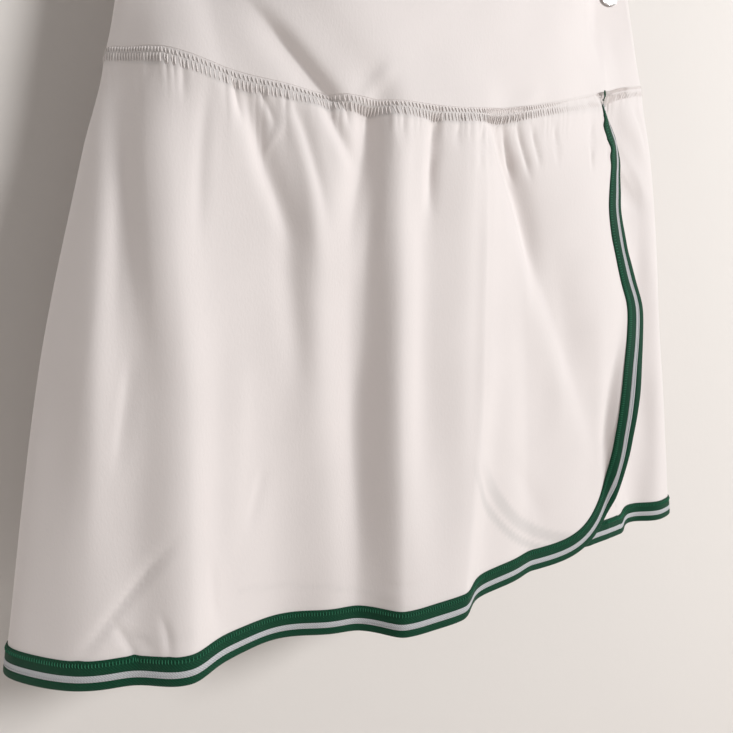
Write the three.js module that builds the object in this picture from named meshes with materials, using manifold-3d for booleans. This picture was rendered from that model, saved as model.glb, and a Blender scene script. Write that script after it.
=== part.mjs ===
// A wrap skort hanging from a two-clip metal hanger.
//
// Millimetres, +Z up. The origin is the underside of the hook's crown, where the
// hanger rests on its rail. -Y is the front of the garment and -X is its right-hand
// side as it is worn, which is the left-hand side seen from the front.
//
// The cloth follows one hollow body. A point of it is found from an angle round the
// body (0 at the +X side, 90 at the centre front, 180 at the -X side, 270 at the
// centre back) and a level (0 at the waist edge, 1 at the yoke seam, 2 at the hem).

import * as THREE from 'three';
import { mergeVertices } from 'three/addons/utils/BufferGeometryUtils.js';
import Module from 'manifold-3d';

const wasm = await Module();
wasm.setup();

// ---------------------------------------------------------------- driving sizes

const SEAM_GAP = 0.3;
const SIDE_GAP = 0.45;
const YOKE_GAP = 0.55;
const YOKE_WALL = 1.5;
const SKIRT_WALL = 1.2;
const SHORTS_WALL = 1.2;
const TAPE_WALL = 1.0;
const TAPE_WIDTH = 12.7;

const WAIST = 0;
const SEAM = 1;
const HEM = 2;
const LEFT_SEAM = 186;
const RIGHT_SEAM = -6;

// how tightly the cloth turns in at the side edges, and how far from them the folds,
// the gathers and the clips' pinch begin
const SIDE_TURN_POWER = 10;
const FOLDS_FROM_SIDE = 2.2;
const PINCH_FROM_SIDE = 6;

// the levels between which the skirt's folds begin and the yoke's pulls end
const FOLDS_BEGIN = { from: 0.72, to: 1.0 };
const PULLS_END = { from: 0.9, to: 1.25 };

// half width of the flattened body at each level
const widths = [
  { level: 0.00, half: 131 },
  { level: 0.50, half: 138 },
  { level: 1.00, half: 147 },
  { level: 1.15, half: 157 },
  { level: 1.50, half: 178 },
  { level: 2.00, half: 198 },
];

// how far the front stands forward of the side edges, across the body (-1 to 1)
const frontDepths = [
  { across: -1.00, waist: 10, seam: 14, hem: 16 },
  { across: -0.84, waist: 22, seam: 33, hem: 30 },
  { across: -0.60, waist: 34, seam: 41, hem: 34 },
  { across: -0.30, waist: 39, seam: 47, hem: 35 },
  { across:  0.00, waist: 39, seam: 46, hem: 34 },
  { across:  0.35, waist: 34, seam: 39, hem: 30 },
  { across:  0.66, waist: 25, seam: 28, hem: 22 },
  { across:  0.85, waist: 15, seam: 17, hem: 14 },
  { across:  1.00, waist:  9, seam:  9, hem: 10 },
];

// how far the back stands behind the side edges
const backDepths = [
  { across: -1.00, waist:  8, seam:  9, hem: 10 },
  { across: -0.60, waist: 13, seam: 16, hem: 20 },
  { across:  0.00, waist: 14, seam: 20, hem: 26 },
  { across:  0.60, waist: 12, seam: 16, hem: 21 },
  { across:  1.00, waist:  8, seam:  9, hem: 10 },
];

// heights of the waist edge, the yoke seam and the hem, across the front
const frontHeights = [
  { across: -1.00, waist: -127, seam: -222, hem: -484 },
  { across: -0.90, waist: -127, seam: -227, hem: -484 },
  { across: -0.65, waist: -135, seam: -238, hem: -483 },
  { across: -0.35, waist: -146, seam: -243, hem: -482 },
  { across:  0.00, waist: -150, seam: -242, hem: -481 },
  { across:  0.35, waist: -144, seam: -230, hem: -477 },
  { across:  0.65, waist: -132, seam: -215, hem: -471 },
  { across:  0.90, waist: -117, seam: -200, hem: -468 },
  { across:  1.00, waist: -116, seam: -194, hem: -468 },
];

// the same three edges across the back
const backHeights = [
  { across: -1.00, waist: -127, seam: -222, hem: -484 },
  { across: -0.60, waist: -130, seam: -224, hem: -483 },
  { across:  0.00, waist: -134, seam: -222, hem: -481 },
  { across:  0.60, waist: -124, seam: -208, hem: -476 },
  { across:  1.00, waist: -116, seam: -194, hem: -468 },
];

// the long soft folds of the skirt: where each crest runs and how far it stands out
const frontFolds = [
  { seamX: -141, midX: -138, hemX: -146, left: 10, right: 10, seam: -2.0, mid: -2.5, hem: -1.5 },
  { seamX: -128, midX: -122, hemX: -124, left: 16, right: 10, seam:  1.5, mid:  5.0, hem:  8.0 },
  { seamX:  -90, midX:  -80, hemX:  -84, left: 24, right: 26, seam: -2.0, mid: -6.5, hem: -11 },
  { seamX:  -43, midX:  -45, hemX:  -48, left: 10, right:  7, seam: -3.0, mid: -5.0, hem: -2.0 },
  { seamX:  -29, midX:  -30, hemX:  -27, left: 10, right: 20, seam:  2.0, mid:  6.0, hem: 10.5 },
  { seamX:   10, midX:   14, hemX:    3, left: 22, right: 11, seam:  2.0, mid:  5.5, hem: 12.0 },
  { seamX:   30, midX:   50, hemX:   62, left: 12, right: 30, seam: -1.5, mid: -3.5, hem: -4.0 },
  { seamX:  118, midX:  160, hemX:  160, left:  9, right: 13, seam: -3.0, mid: -5.0, hem: -7.0 },
];

const backFolds = [
  { seamX: -112, midX: -128, hemX: -140, left: 16, right: 14, seam:  1.5, mid:  3.5, hem:  6.0 },
  { seamX:  -84, midX:  -94, hemX: -102, left: 14, right: 18, seam: -1.5, mid: -3.0, hem: -5.0 },
  { seamX:  -50, midX:  -56, hemX:  -60, left: 15, right: 13, seam:  2.0, mid:  4.0, hem:  7.0 },
  { seamX:  -14, midX:  -18, hemX:  -20, left: 16, right: 15, seam: -2.0, mid: -3.5, hem: -5.5 },
  { seamX:   20, midX:   22, hemX:   26, left: 14, right: 16, seam:  1.5, mid:  4.0, hem:  7.5 },
  { seamX:   56, midX:   63, hemX:   72, left: 16, right: 17, seam: -1.5, mid: -3.0, hem: -5.0 },
  { seamX:   92, midX:  104, hemX:  116, left: 14, right: 17, seam:  1.5, mid:  3.5, hem:  6.5 },
];

// the short gathers where the skirt is eased into the yoke
const frontGathers = [
  { x: -136, deep: 0.8, wide: 3.5, long: 22 },
  { x: -126, deep: 1.2, wide: 3.0, long: 18 },
  { x: -105, deep: 1.6, wide: 3.5, long: 34 },
  { x:  -98, deep: 1.2, wide: 3.0, long: 22 },
  { x:  -90, deep: 2.0, wide: 3.5, long: 40 },
  { x:  -81, deep: 1.8, wide: 3.5, long: 30 },
  { x:  -72, deep: 2.2, wide: 4.0, long: 44 },
  { x:  -62, deep: 1.8, wide: 3.5, long: 30 },
  { x:  -44, deep: 1.8, wide: 4.0, long: 60 },
  { x:  -16, deep: 1.6, wide: 3.5, long: 40 },
  { x:   -3, deep: 0.8, wide: 3.0, long: 20 },
  { x:   14, deep: 1.4, wide: 3.5, long: 28 },
  { x:   24, deep: 1.8, wide: 4.0, long: 42 },
  { x:   34, deep: 1.4, wide: 3.5, long: 34 },
  { x:   56, deep: 0.8, wide: 3.5, long: 24 },
  { x:   84, deep: 1.4, wide: 3.0, long: 20 },
  { x:  104, deep: 1.8, wide: 3.5, long: 30 },
  { x:  114, deep: 2.0, wide: 4.0, long: 40 },
  { x:  128, deep: 1.6, wide: 4.0, long: 30 },
  { x:  138, deep: 1.0, wide: 3.5, long: 22 },
];

// gathers of the back, set at an even pitch and made uneven by these two columns
const BACK_GATHER_PITCH = 13;
const BACK_GATHER_REACH = 128;
const BACK_GATHER_WIDE = 3.6;
const backGatherSizes = [
  { deep: 1.2, long: 26 },
  { deep: 1.8, long: 40 },
  { deep: 0.9, long: 20 },
  { deep: 1.6, long: 34 },
  { deep: 1.3, long: 24 },
];

// pulls in the yoke, each running from the first point to the second, and the shares
// of their length over which they come in and die out
const PULL_IN = { from: -0.15, to: 0.2 };
const PULL_OUT = { from: 0.75, to: 1.25 };
const yokePulls = [
  { x0: -121, z0: -150, x1:  -58, z1: -244, deep: -4.5, left: 9, right: 15 },
  { x0: -114, z0: -140, x1:  -30, z1: -236, deep:  3.0, left: 9, right: 16 },
  { x0: -134, z0: -150, x1: -136, z1: -215, deep: -2.0, left: 6, right: 6 },
  { x0:  121, z0: -150, x1:   97, z1: -216, deep:  3.0, left: 14, right: 9 },
  { x0:  133, z0: -130, x1:  131, z1: -200, deep: -4.0, left: 7, right: 8 },
];

// the free edge of the over panel, from the yoke seam down
const overEdge = [
  { z: -205, x: 96 },
  { z: -219, x: 103 },
  { z: -243, x: 118 },
  { z: -265, x: 122 },
  { z: -293, x: 126 },
  { z: -320, x: 137 },
  { z: -350, x: 142 },
  { z: -372, x: 142 },
];
const overCorner = { x: 60, z: -372, wide: 82, deep: 102, power: 2.5 };

// the free edge of the under panel, hidden behind the over panel
const underEdge = [
  { z: -215, x: 50 },
  { z: -245, x: 40 },
  { z: -300, x: 22 },
  { z: -345, x: 13 },
  { z: -370, x: 12 },
];
const underCorner = { x: 110, z: -370, wide: 98, deep: 100, power: 2.0 };
const UNDER_SET_IN = 4.4;
const UNDER_RETURN_FROM = 12;
const UNDER_RETURN_TO = 40;

// how far the over panel's free edge rolls in at the top and kicks out lower down
const edgeRoll = [
  { z: -205, out: -5.0, wide: 13 },
  { z: -250, out: -4.0, wide: 14 },
  { z: -280, out: -2.0, wide: 15 },
  { z: -310, out:  1.0, wide: 18 },
  { z: -340, out:  3.5, wide: 22 },
  { z: -372, out:  6.0, wide: 25 },
  { z: -410, out:  7.5, wide: 27 },
  { z: -450, out:  6.0, wide: 27 },
  { z: -484, out:  4.0, wide: 27 },
];
const ROLL_FLAT = 6;
const ROLL_SETTLE = 28;

// the inner shorts
const SHORTS_FRONT_SET_IN = 8.0;
const SHORTS_WRAP_SET_IN = 4.0;
const SHORTS_BACK_SET_IN = 2.8;
const shortsLevels = [
  { z: -216, half: 135, front: 0.86, back: 0.90 },
  { z: -300, half: 138, front: 0.74, back: 0.75 },
  { z: -380, half: 143, front: 0.58, back: 0.66 },
  { z: -462, half: 147, front: 0.46, back: 0.60 },
];
const CROTCH = { share: 0.28, dip: 14 };
const SHORTS_RISE = 3;
const SHORTS_WRAP_FROM = 50;
const SHORTS_WRAP_TO = 95;
const SHORTS_CENTRE_GAP = 4;

// the hanger
const HOOK = { wire: 4, inside: 21, fromAngle: -35, toAngle: 215, stepAngle: 12.5 };
const hookNeck = [
  { x: 7, z: -40.8 },
  { x: 1, z: -53.0 },
  { x: 0, z: -64.0 },
  { x: 0, z: -88.5 },
];
const SOCKET = { wide: 14, rim: 1.6, tall: 3.4 };
const BAR = { z: -96, diameter: 7, long: 318, cap: 11, capLong: 7 };
const CLIP = { x: 124, top: -86, bottom: -150, pivotZ: -111, tip: 12, root: 20, plate: 1.2 };
const JAW = { corner: 3.5, waist: 0.5, bendBelow: 5.5, bendAt: 2, lift: 1.8, flare: 4.4, wing: 9.5 };
const CLIP_PIN = 3;
const LINK = { wide: 3, rim: 1.4 };
const SPRING = { wire: 1.1, coils: 3 };
const PINCH = { flat: 8, across: 20, flare: 0.25, lip: 4, below: 38, apart: 1.1 };

// ---------------------------------------------------------------- small helpers

const radians = THREE.MathUtils.degToRad;
const clamp = THREE.MathUtils.clamp;
const lerp = THREE.MathUtils.lerp;

function smoothStep(low, high, value) {
  const s = clamp((value - low) / (high - low), 0, 1);
  return s * s * (3 - 2 * s);
}

function ramp(range, value) {
  return smoothStep(range.from, range.to, value);
}

// Smooth curve through a table's rows, one column against another.
function read(table, key, column, value) {
  const last = table.length - 1;
  const rising = table[last][key] > table[0][key];
  const rows = rising ? table : [...table].reverse();
  const at = clamp(value, rows[0][key], rows[last][key]);
  let i = 0;
  while (i < last - 1 && at > rows[i + 1][key]) i += 1;
  const slope = (k) => {
    const before = rows[Math.max(k - 1, 0)];
    const after = rows[Math.min(k + 1, last)];
    return (after[column] - before[column]) / (after[key] - before[key]);
  };
  const span = rows[i + 1][key] - rows[i][key];
  const s = (at - rows[i][key]) / span;
  const s2 = s * s;
  const s3 = s2 * s;
  return rows[i][column] * (2 * s3 - 3 * s2 + 1)
    + slope(i) * span * (s3 - 2 * s2 + s)
    + rows[i + 1][column] * (3 * s2 - 2 * s3)
    + slope(i + 1) * span * (s3 - s2);
}

// Blend of three columns for a level between the first and the last of them.
function byLevel(level, atWaist, atSeam, atHem) {
  if (level < SEAM) return lerp(atWaist, atSeam, level);
  return lerp(atSeam, atHem, level - SEAM);
}

function bump(distance, left, right) {
  const width = distance < 0 ? left : right;
  return Math.exp(-((distance / width) ** 2));
}

// ---------------------------------------------------------------- the hollow body

function isFront(angle) {
  return Math.sin(radians(angle)) >= 0;
}

function heightAt(angle, level) {
  const across = Math.cos(radians(angle));
  const table = isFront(angle) ? frontHeights : backHeights;
  return byLevel(
    level,
    read(table, 'across', 'waist', across),
    read(table, 'across', 'seam', across),
    read(table, 'across', 'hem', across),
  );
}

function foldShift(folds, x, level) {
  const t = clamp(level - SEAM, 0, 1);
  let shift = 0;
  for (const fold of folds) {
    const late = t > 0.5;
    const s = late ? (t - 0.5) * 2 : t * 2;
    const crest = late ? lerp(fold.midX, fold.hemX, s) : lerp(fold.seamX, fold.midX, s);
    const stand = late ? lerp(fold.mid, fold.hem, s) : lerp(fold.seam, fold.mid, s);
    shift += stand * bump(x - crest, fold.left, fold.right);
  }
  return shift;
}

function gatherShift(angle, x, z, level) {
  const below = heightAt(angle, SEAM) - z;
  if (level < SEAM) return 0;
  let shift = 0;
  if (isFront(angle)) {
    for (const gather of frontGathers) {
      shift -= gather.deep * bump(x - gather.x, gather.wide, gather.wide)
        * bump(below, gather.long, gather.long);
    }
    return shift;
  }
  const count = Math.floor(2 * BACK_GATHER_REACH / BACK_GATHER_PITCH);
  for (let i = 0; i <= count; i += 1) {
    const size = backGatherSizes[i % backGatherSizes.length];
    const aside = x + BACK_GATHER_REACH - i * BACK_GATHER_PITCH;
    shift -= size.deep * bump(aside, BACK_GATHER_WIDE, BACK_GATHER_WIDE)
      * bump(below, size.long, size.long);
  }
  return shift;
}

function pullShift(x, z) {
  let shift = 0;
  for (const pull of yokePulls) {
    const alongX = pull.x1 - pull.x0;
    const alongZ = pull.z1 - pull.z0;
    const length = Math.hypot(alongX, alongZ);
    const s = ((x - pull.x0) * alongX + (z - pull.z0) * alongZ) / length ** 2;
    const aside = ((x - pull.x0) * alongZ - (z - pull.z0) * alongX) / length;
    const fade = ramp(PULL_IN, s) * (1 - ramp(PULL_OUT, s));
    shift += pull.deep * fade * bump(-aside, pull.left, pull.right);
  }
  return shift;
}

function pinchAt(x, z) {
  const beside = Math.max(0, Math.abs(Math.abs(x) - CLIP.x) - PINCH.flat);
  const below = Math.max(0, CLIP.bottom - PINCH.lip - z);
  const spread = PINCH.across + below * PINCH.flare;
  return bump(beside, spread, spread) * bump(below, PINCH.below, PINCH.below);
}

function edgeX(table, z) {
  return read(table, 'z', 'x', z);
}

function rollShift(x, z, level) {
  if (level < SEAM) return 0;
  const wide = read(edgeRoll, 'z', 'wide', z);
  const inside = x - edgeX(overEdge, Math.max(z, overCorner.z)) + wide;
  const settled = 1 - smoothStep(wide + ROLL_FLAT, wide + ROLL_FLAT + ROLL_SETTLE, inside);
  return read(edgeRoll, 'z', 'out', z) * smoothStep(0, wide, inside) * settled;
}

function sideRound(across) {
  return Math.sqrt(Math.max(0, 1 - Math.abs(across) ** SIDE_TURN_POWER));
}

// The middle of the cloth at an angle and a level, before any offset.
function bodyPoint(angle, level) {
  const front = isFront(angle);
  const across = Math.cos(radians(angle));
  const x = across * read(widths, 'level', 'half', level);
  const z = heightAt(angle, level);
  const table = front ? frontDepths : backDepths;
  const depth = byLevel(
    level,
    read(table, 'across', 'waist', across),
    read(table, 'across', 'seam', across),
    read(table, 'across', 'hem', across),
  );
  const round = sideRound(across);
  const aside = Math.abs(Math.sin(radians(angle)));
  const steady = Math.min(1, aside * FOLDS_FROM_SIDE);
  let out = depth * round;
  const folds = front ? frontFolds : backFolds;
  out += steady * ramp(FOLDS_BEGIN, level) * foldShift(folds, x, Math.max(level, SEAM));
  out += steady * gatherShift(angle, x, z, level);
  if (front) {
    out += steady * (1 - ramp(PULLS_END, level)) * pullShift(x, z);
    out += steady * rollShift(x, z, level);
  }
  const pinch = pinchAt(x, z);
  const held = PINCH.apart * Math.min(1, aside * PINCH_FROM_SIDE);
  out = lerp(out, held, pinch);
  return new THREE.Vector3(x, front ? -out : out, z);
}

// A point of the cloth moved out from its middle by a distance, square to it.
function clothPoint(angle, level, offset) {
  const turn = 0.25;
  const drop = 0.004;
  const ahead = bodyPoint(angle + turn, level);
  const behind = bodyPoint(angle - turn, level);
  const lower = bodyPoint(angle, level + drop);
  const upper = bodyPoint(angle, level - drop);
  const normal = ahead.sub(behind).cross(lower.sub(upper)).normalize();
  return bodyPoint(angle, level).addScaledVector(normal, offset);
}

// The angle and level of a place on the front or the back, from its x and z.
function placeOn(front, x, z) {
  let level = 1.5;
  let angle = 90;
  for (let i = 0; i < 12; i += 1) {
    const half = read(widths, 'level', 'half', level);
    const turned = THREE.MathUtils.radToDeg(Math.acos(clamp(x / half, -1, 1)));
    angle = front ? turned : 360 - turned;
    const seamZ = heightAt(angle, SEAM);
    const above = front && z > seamZ ? WAIST : HEM;
    const otherZ = heightAt(angle, above);
    level = SEAM + (z - seamZ) / (otherZ - seamZ) * (above - SEAM);
  }
  return [angle, level];
}

// ---------------------------------------------------------------- walls of cloth

// A closed wall between two layers of points, each a grid of rows down the cloth and
// columns across it. Only the kept cells become cloth, and a ring's last column of
// cells runs back to its first.
function shellGeometry(outer, inner, isKept, isRing) {
  const rows = outer.length;
  const columns = outer[0].length;
  const across = isRing ? columns : columns - 1;
  const positions = [];
  const numbers = new Map();
  const vertex = (r, c, side) => {
    const key = (side * rows + r) * columns + c;
    if (!numbers.has(key)) {
      const p = (side ? inner : outer)[r][c];
      numbers.set(key, positions.length / 3);
      positions.push(p.x, p.y, p.z);
    }
    return numbers.get(key);
  };
  const index = [];
  const quad = (corners, side, turned) => {
    const [a, b, c, d] = corners.map(([row, column]) => vertex(row, column, side));
    const [p, q, r, t] = corners.map(([row, column]) => outer[row][column]);
    const tris = p.distanceTo(r) <= q.distanceTo(t) ? [a, b, c, a, c, d] : [a, b, d, b, c, d];
    index.push(...(turned ? tris.reverse() : tris));
  };
  const edge = (from, to) => {
    const [a, b] = [vertex(...from, 0), vertex(...to, 0)];
    const [c, d] = [vertex(...to, 1), vertex(...from, 1)];
    index.push(a, c, b, a, d, c);
  };
  const wrap = (c) => (isRing ? (c + columns) % columns : c);
  const inside = (r, c) => r >= 0 && r < rows - 1 && wrap(c) >= 0 && wrap(c) < across;
  const kept = (r, c) => inside(r, c) && isKept(r, wrap(c));
  for (let r = 0; r < rows - 1; r += 1) {
    for (let c = 0; c < across; c += 1) {
      if (!kept(r, c)) continue;
      const next = wrap(c + 1);
      const corners = [[r, c], [r + 1, c], [r + 1, next], [r, next]];
      quad(corners, 0, false);
      quad(corners, 1, true);
      if (!kept(r, c - 1)) edge([r, c], [r + 1, c]);
      if (!kept(r + 1, c)) edge([r + 1, c], [r + 1, next]);
      if (!kept(r, c + 1)) edge([r + 1, next], [r, next]);
      if (!kept(r - 1, c)) edge([r, next], [r, c]);
    }
  }
  const geometry = new THREE.BufferGeometry();
  geometry.setAttribute('position', new THREE.Float32BufferAttribute(positions, 3));
  geometry.setIndex(index);
  geometry.computeVertexNormals();
  return geometry;
}

// A wall of cloth on the body from a grid of places.
function wallGeometry(places, outside, inside, isKept = () => true) {
  const layer = (offset) => places.map((row) => row.map(([angle, level, shift = 0]) => (
    clothPoint(angle, level, offset + shift))));
  return shellGeometry(layer(outside), layer(inside), isKept, false);
}

// Grid of places between four edges, each a function of 0 to 1.
function between(top, bottom, left, right, columns, rows) {
  const places = [];
  for (const v of rows) {
    const row = [];
    for (const u of columns) {
      const [t, b, l, r] = [top(u), bottom(u), left(v), right(v)];
      const [tl, tr, bl, br] = [top(0), top(1), bottom(0), bottom(1)];
      row.push([0, 1].map((k) => (1 - v) * t[k] + v * b[k] + (1 - u) * l[k] + u * r[k]
        - ((1 - u) * (1 - v) * tl[k] + u * (1 - v) * tr[k] + (1 - u) * v * bl[k] + u * v * br[k])));
    }
    places.push(row);
  }
  return places;
}

function steps(count, power = 1) {
  return Array.from({ length: count + 1 }, (_, i) => (i / count) ** power);
}

// Half of a seam's gap, as a turn of the angle and as a step of the level.
function gapTurn(angle, level) {
  const far = bodyPoint(angle + 0.5, level).distanceTo(bodyPoint(angle - 0.5, level));
  return SIDE_GAP / 2 / far;
}

function gapLevel(angle, above) {
  const from = above ? WAIST : SEAM;
  return YOKE_GAP / 2 / (heightAt(angle, from) - heightAt(angle, from + 1));
}

// A path of places with even steps along it.
function evenly(path, count) {
  const fine = steps(400).map((s) => path(s));
  const lengths = [0];
  for (let i = 1; i < fine.length; i += 1) {
    const a = bodyPoint(...fine[i - 1]);
    const b = bodyPoint(...fine[i]);
    lengths.push(lengths[i - 1] + a.distanceTo(b));
  }
  const total = lengths[lengths.length - 1];
  let i = 0;
  return steps(count).map((s) => {
    while (i < fine.length - 2 && lengths[i + 1] < s * total) i += 1;
    const part = clamp((s * total - lengths[i]) / (lengths[i + 1] - lengths[i] || 1), 0, 1);
    return [0, 1].map((k) => lerp(fine[i][k], fine[i + 1][k], part));
  });
}

function alongPath(places) {
  return (s) => {
    const at = clamp(s, 0, 1) * (places.length - 1);
    const i = Math.min(Math.floor(at), places.length - 2);
    return [0, 1].map((k) => lerp(places[i][k], places[i + 1][k], at - i));
  };
}

// ---------------------------------------------------------------- panel outlines

function cornerPoint(corner, side, degreesDown) {
  const c = Math.cos(radians(degreesDown));
  const s = Math.sin(radians(degreesDown));
  const x = corner.x + side * corner.wide * Math.abs(c) ** (2 / corner.power);
  const z = corner.z - corner.deep * Math.abs(s) ** (2 / corner.power);
  return placeOn(true, x, z);
}

// From the yoke seam down a free edge and half way round its corner.
function freeEdge(table, corner, side) {
  const places = [];
  const topZ = table[0].z;
  const straight = 30;
  for (let i = 0; i <= straight; i += 1) {
    const z = lerp(topZ, corner.z, i / straight);
    places.push(placeOn(true, edgeX(table, z), z));
  }
  for (let i = 1; i <= 12; i += 1) places.push(cornerPoint(corner, side, (i / 12) * 45));
  const kept = places.filter((place) => place[1] > SEAM);
  const first = kept[0];
  const before = places[places.length - kept.length - 1];
  const s = (SEAM - before[1]) / (first[1] - before[1]);
  kept.unshift([lerp(before[0], first[0], s), SEAM]);
  return kept;
}

// From a side seam along the hem and half way round a corner.
function hemEdge(seamAngle, corner, side) {
  const places = [];
  const [endAngle, endLevel] = cornerPoint(corner, side, 90);
  const straight = 60;
  for (let i = 0; i < straight; i += 1) {
    const s = i / straight;
    const level = lerp(HEM, endLevel, smoothStep(0.75, 1, s));
    places.push([lerp(seamAngle, endAngle, s), level]);
  }
  for (let i = 0; i <= 12; i += 1) places.push(cornerPoint(corner, side, 90 - (i / 12) * 45));
  return places;
}

// The shift that tucks the under panel behind the over panel and its tape.
function underShift(angle, level) {
  const p = bodyPoint(angle, level);
  const beyond = p.x - edgeX(overEdge, clamp(p.z, overCorner.z, overEdge[0].z));
  const tucked = UNDER_SET_IN * (1 - smoothStep(UNDER_RETURN_FROM, UNDER_RETURN_TO, beyond));
  return -tucked - Math.max(0, rollShift(p.x, p.z, level));
}

function withShift(places, shiftAt) {
  return places.map((row) => row.map(([angle, level]) => [angle, level, shiftAt(angle, level)]));
}

// ---------------------------------------------------------------- cloth pieces

// where the columns of each panel's grid meet the seam and the hem, from the side in
const overColumns = [
  { seamX: -147, hemX: -198 },
  { seamX: -135, hemX: -160 },
  { seamX: -118, hemX: -124 },
  { seamX:    0, hemX:    0 },
  { seamX:   45, hemX:   48 },
];
const underColumns = [
  { seamX: 147, hemX: 198 },
  { seamX: 135, hemX: 162 },
  { seamX: 100, hemX: 106 },
];
const backColumns = [
  { seamX: -147, hemX: -198 },
  { seamX: -120, hemX: -146 },
  { seamX:    0, hemX:    0 },
  { seamX:  120, hemX:  146 },
  { seamX:  147, hemX:  198 },
];

// How far along a hem path (0 to 1) the grid's column from a seam angle comes down.
function columnFoot(table, path, seamAngle) {
  const hemX = read(table, 'seamX', 'hemX', bodyPoint(seamAngle, SEAM).x);
  let target = angleAtHem(hemX);
  if (seamAngle > 180) target = 360 - target;
  if (seamAngle < 0) target = -target;
  const way = Math.sign(path(1)[0] - path(0)[0]);
  let low = 0;
  let high = 1;
  for (let i = 0; i < 24; i += 1) {
    const middle = (low + high) / 2;
    if ((target - path(middle)[0]) * way > 0) low = middle;
    else high = middle;
  }
  return (low + high) / 2;
}

function angleAtHem(x) {
  const half = read(widths, 'level', 'half', HEM);
  return THREE.MathUtils.radToDeg(Math.acos(clamp(x / half, -1, 1)));
}

// The places one tape width in from each place of a path along a panel's edge.
function insetPath(path, inwardSide) {
  const last = path.length - 1;
  return path.map(([angle, level], i) => {
    const ahead = bodyPoint(...path[Math.min(i + 1, last)]);
    const behind = bodyPoint(...path[Math.max(i - 1, 0)]);
    const along = ahead.sub(behind).normalize();
    const turn = bodyPoint(angle + 0.5, level).sub(bodyPoint(angle - 0.5, level));
    const drop = bodyPoint(angle, level).sub(bodyPoint(angle, level - 0.01)).multiplyScalar(100);
    const normal = turn.clone().cross(drop).normalize();
    const inward = normal.cross(along).multiplyScalar(inwardSide * TAPE_WIDTH);
    const tt = turn.dot(turn);
    const td = turn.dot(drop);
    const dd = drop.dot(drop);
    const it = inward.dot(turn);
    const id = inward.dot(drop);
    const size = tt * dd - td * td;
    return [angle + (it * dd - id * td) / size, level + (id * tt - it * td) / size];
  });
}

// where the tape's corner cell begins, as a share of the free edge
const CORNER_SHARE = 0.965;

// A front panel's grid, from its side seam across to its free edge. The last row and
// the last column of cells are one tape width wide, along the hem and the free edge.
function wrapPanel({ seamAngle, inwardSide, hem, free, table, columns, rows }) {
  const hemEven = evenly(alongPath(hem), 160);
  const freeEven = evenly(alongPath(free), 80);
  const outline = [...hemEven, ...[...freeEven].reverse().slice(1)];
  const inset = insetPath(outline, inwardSide);
  const hemHalf = read(widths, 'level', 'half', HEM);
  const outerHem = alongPath(hemEven);
  const innerHem = alongPath(inset.slice(0, hemEven.length));
  const outerFree = alongPath(freeEven);
  const innerFree = alongPath(inset.slice(hemEven.length - 1).reverse());
  const sideTurn = (level) => seamAngle - Math.sign(seamAngle - 90) * gapTurn(seamAngle, level);
  const slitTop = [innerFree(0)[0], skirtTop(innerFree(0)[0])];
  const topStart = sideTurn(SEAM);
  const top = alongPath(evenly((u) => {
    const angle = lerp(topStart, slitTop[0], u);
    return [angle, skirtTop(angle)];
  }, 160));
  const freeColumn = {
    seamX: bodyPoint(...slitTop).x,
    hemX: hemHalf * Math.cos(radians(innerHem(1)[0])),
  };
  const feet = columns.map((u) => {
    if (u === 0) return 0;
    return u === 1 ? 1 : columnFoot([...table, freeColumn], innerHem, top(u)[0]);
  });
  const atSide = ([, level]) => [sideTurn(level), level];
  const bottom = (u) => {
    const foot = feet[columns.indexOf(u)];
    return foot === 0 ? atSide(innerHem(0)) : innerHem(foot);
  };
  const left = (v) => atSide([0, lerp(skirtTop(seamAngle), innerHem(0)[1], v)]);
  const right = (v) => (v === 0 ? slitTop : innerFree(v));
  const places = between(top, bottom, left, right, columns, rows);
  rows.forEach((v, r) => {
    const outer = outerFree(v === 1 ? CORNER_SHARE : v);
    places[r].push(v === 0 ? [outer[0], skirtTop(outer[0])] : outer);
  });
  const hemRow = feet.map((foot) => {
    if (foot === 0) return atSide(outerHem(0));
    return outerHem(foot === 1 ? (1 + CORNER_SHARE) / 2 : foot);
  });
  places.push([...hemRow, outerHem(1)]);
  return places;
}

function skirtTop(angle) {
  return SEAM + gapLevel(angle, false);
}

const overPlaces = wrapPanel({
  seamAngle: LEFT_SEAM,
  inwardSide: 1,
  hem: hemEdge(LEFT_SEAM, overCorner, 1),
  free: freeEdge(overEdge, overCorner, 1),
  table: overColumns,
  columns: steps(94),
  rows: steps(8, 1.3),
});

const underPlaces = withShift(wrapPanel({
  seamAngle: RIGHT_SEAM,
  inwardSide: -1,
  hem: hemEdge(RIGHT_SEAM, underCorner, -1),
  free: freeEdge(underEdge, underCorner, -1),
  table: underColumns,
  columns: steps(38),
  rows: steps(7, 1.3),
}).map((row) => row.reverse()), underShift);

// The back panel's grid. Its last row of cells is one tape width deep.
function backGrid(columns, rows) {
  const seamX = (angle) => Math.cos(radians(angle)) * read(widths, 'level', 'half', SEAM);
  const tapeTop = (angle) => HEM - TAPE_WIDTH / (heightAt(angle, SEAM) - heightAt(angle, HEM));
  return [...rows, null].map((v) => columns.map((u) => {
    const seamAngle = lerp(RIGHT_SEAM, LEFT_SEAM - 360, u);
    const hemAngle = -angleAtHem(read(backColumns, 'seamX', 'hemX', seamX(seamAngle)));
    const s = v === null ? 1 : v;
    const angle = lerp(seamAngle, hemAngle, s);
    const level = v === null ? HEM : lerp(skirtTop(seamAngle), tapeTop(hemAngle), s);
    if (u === 0) return [RIGHT_SEAM - gapTurn(RIGHT_SEAM, level), level];
    if (u === 1) return [LEFT_SEAM - 360 + gapTurn(LEFT_SEAM, level), level];
    return [angle, level];
  }));
}

const backPlaces = backGrid(steps(56), steps(6, 1.3));

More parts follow.
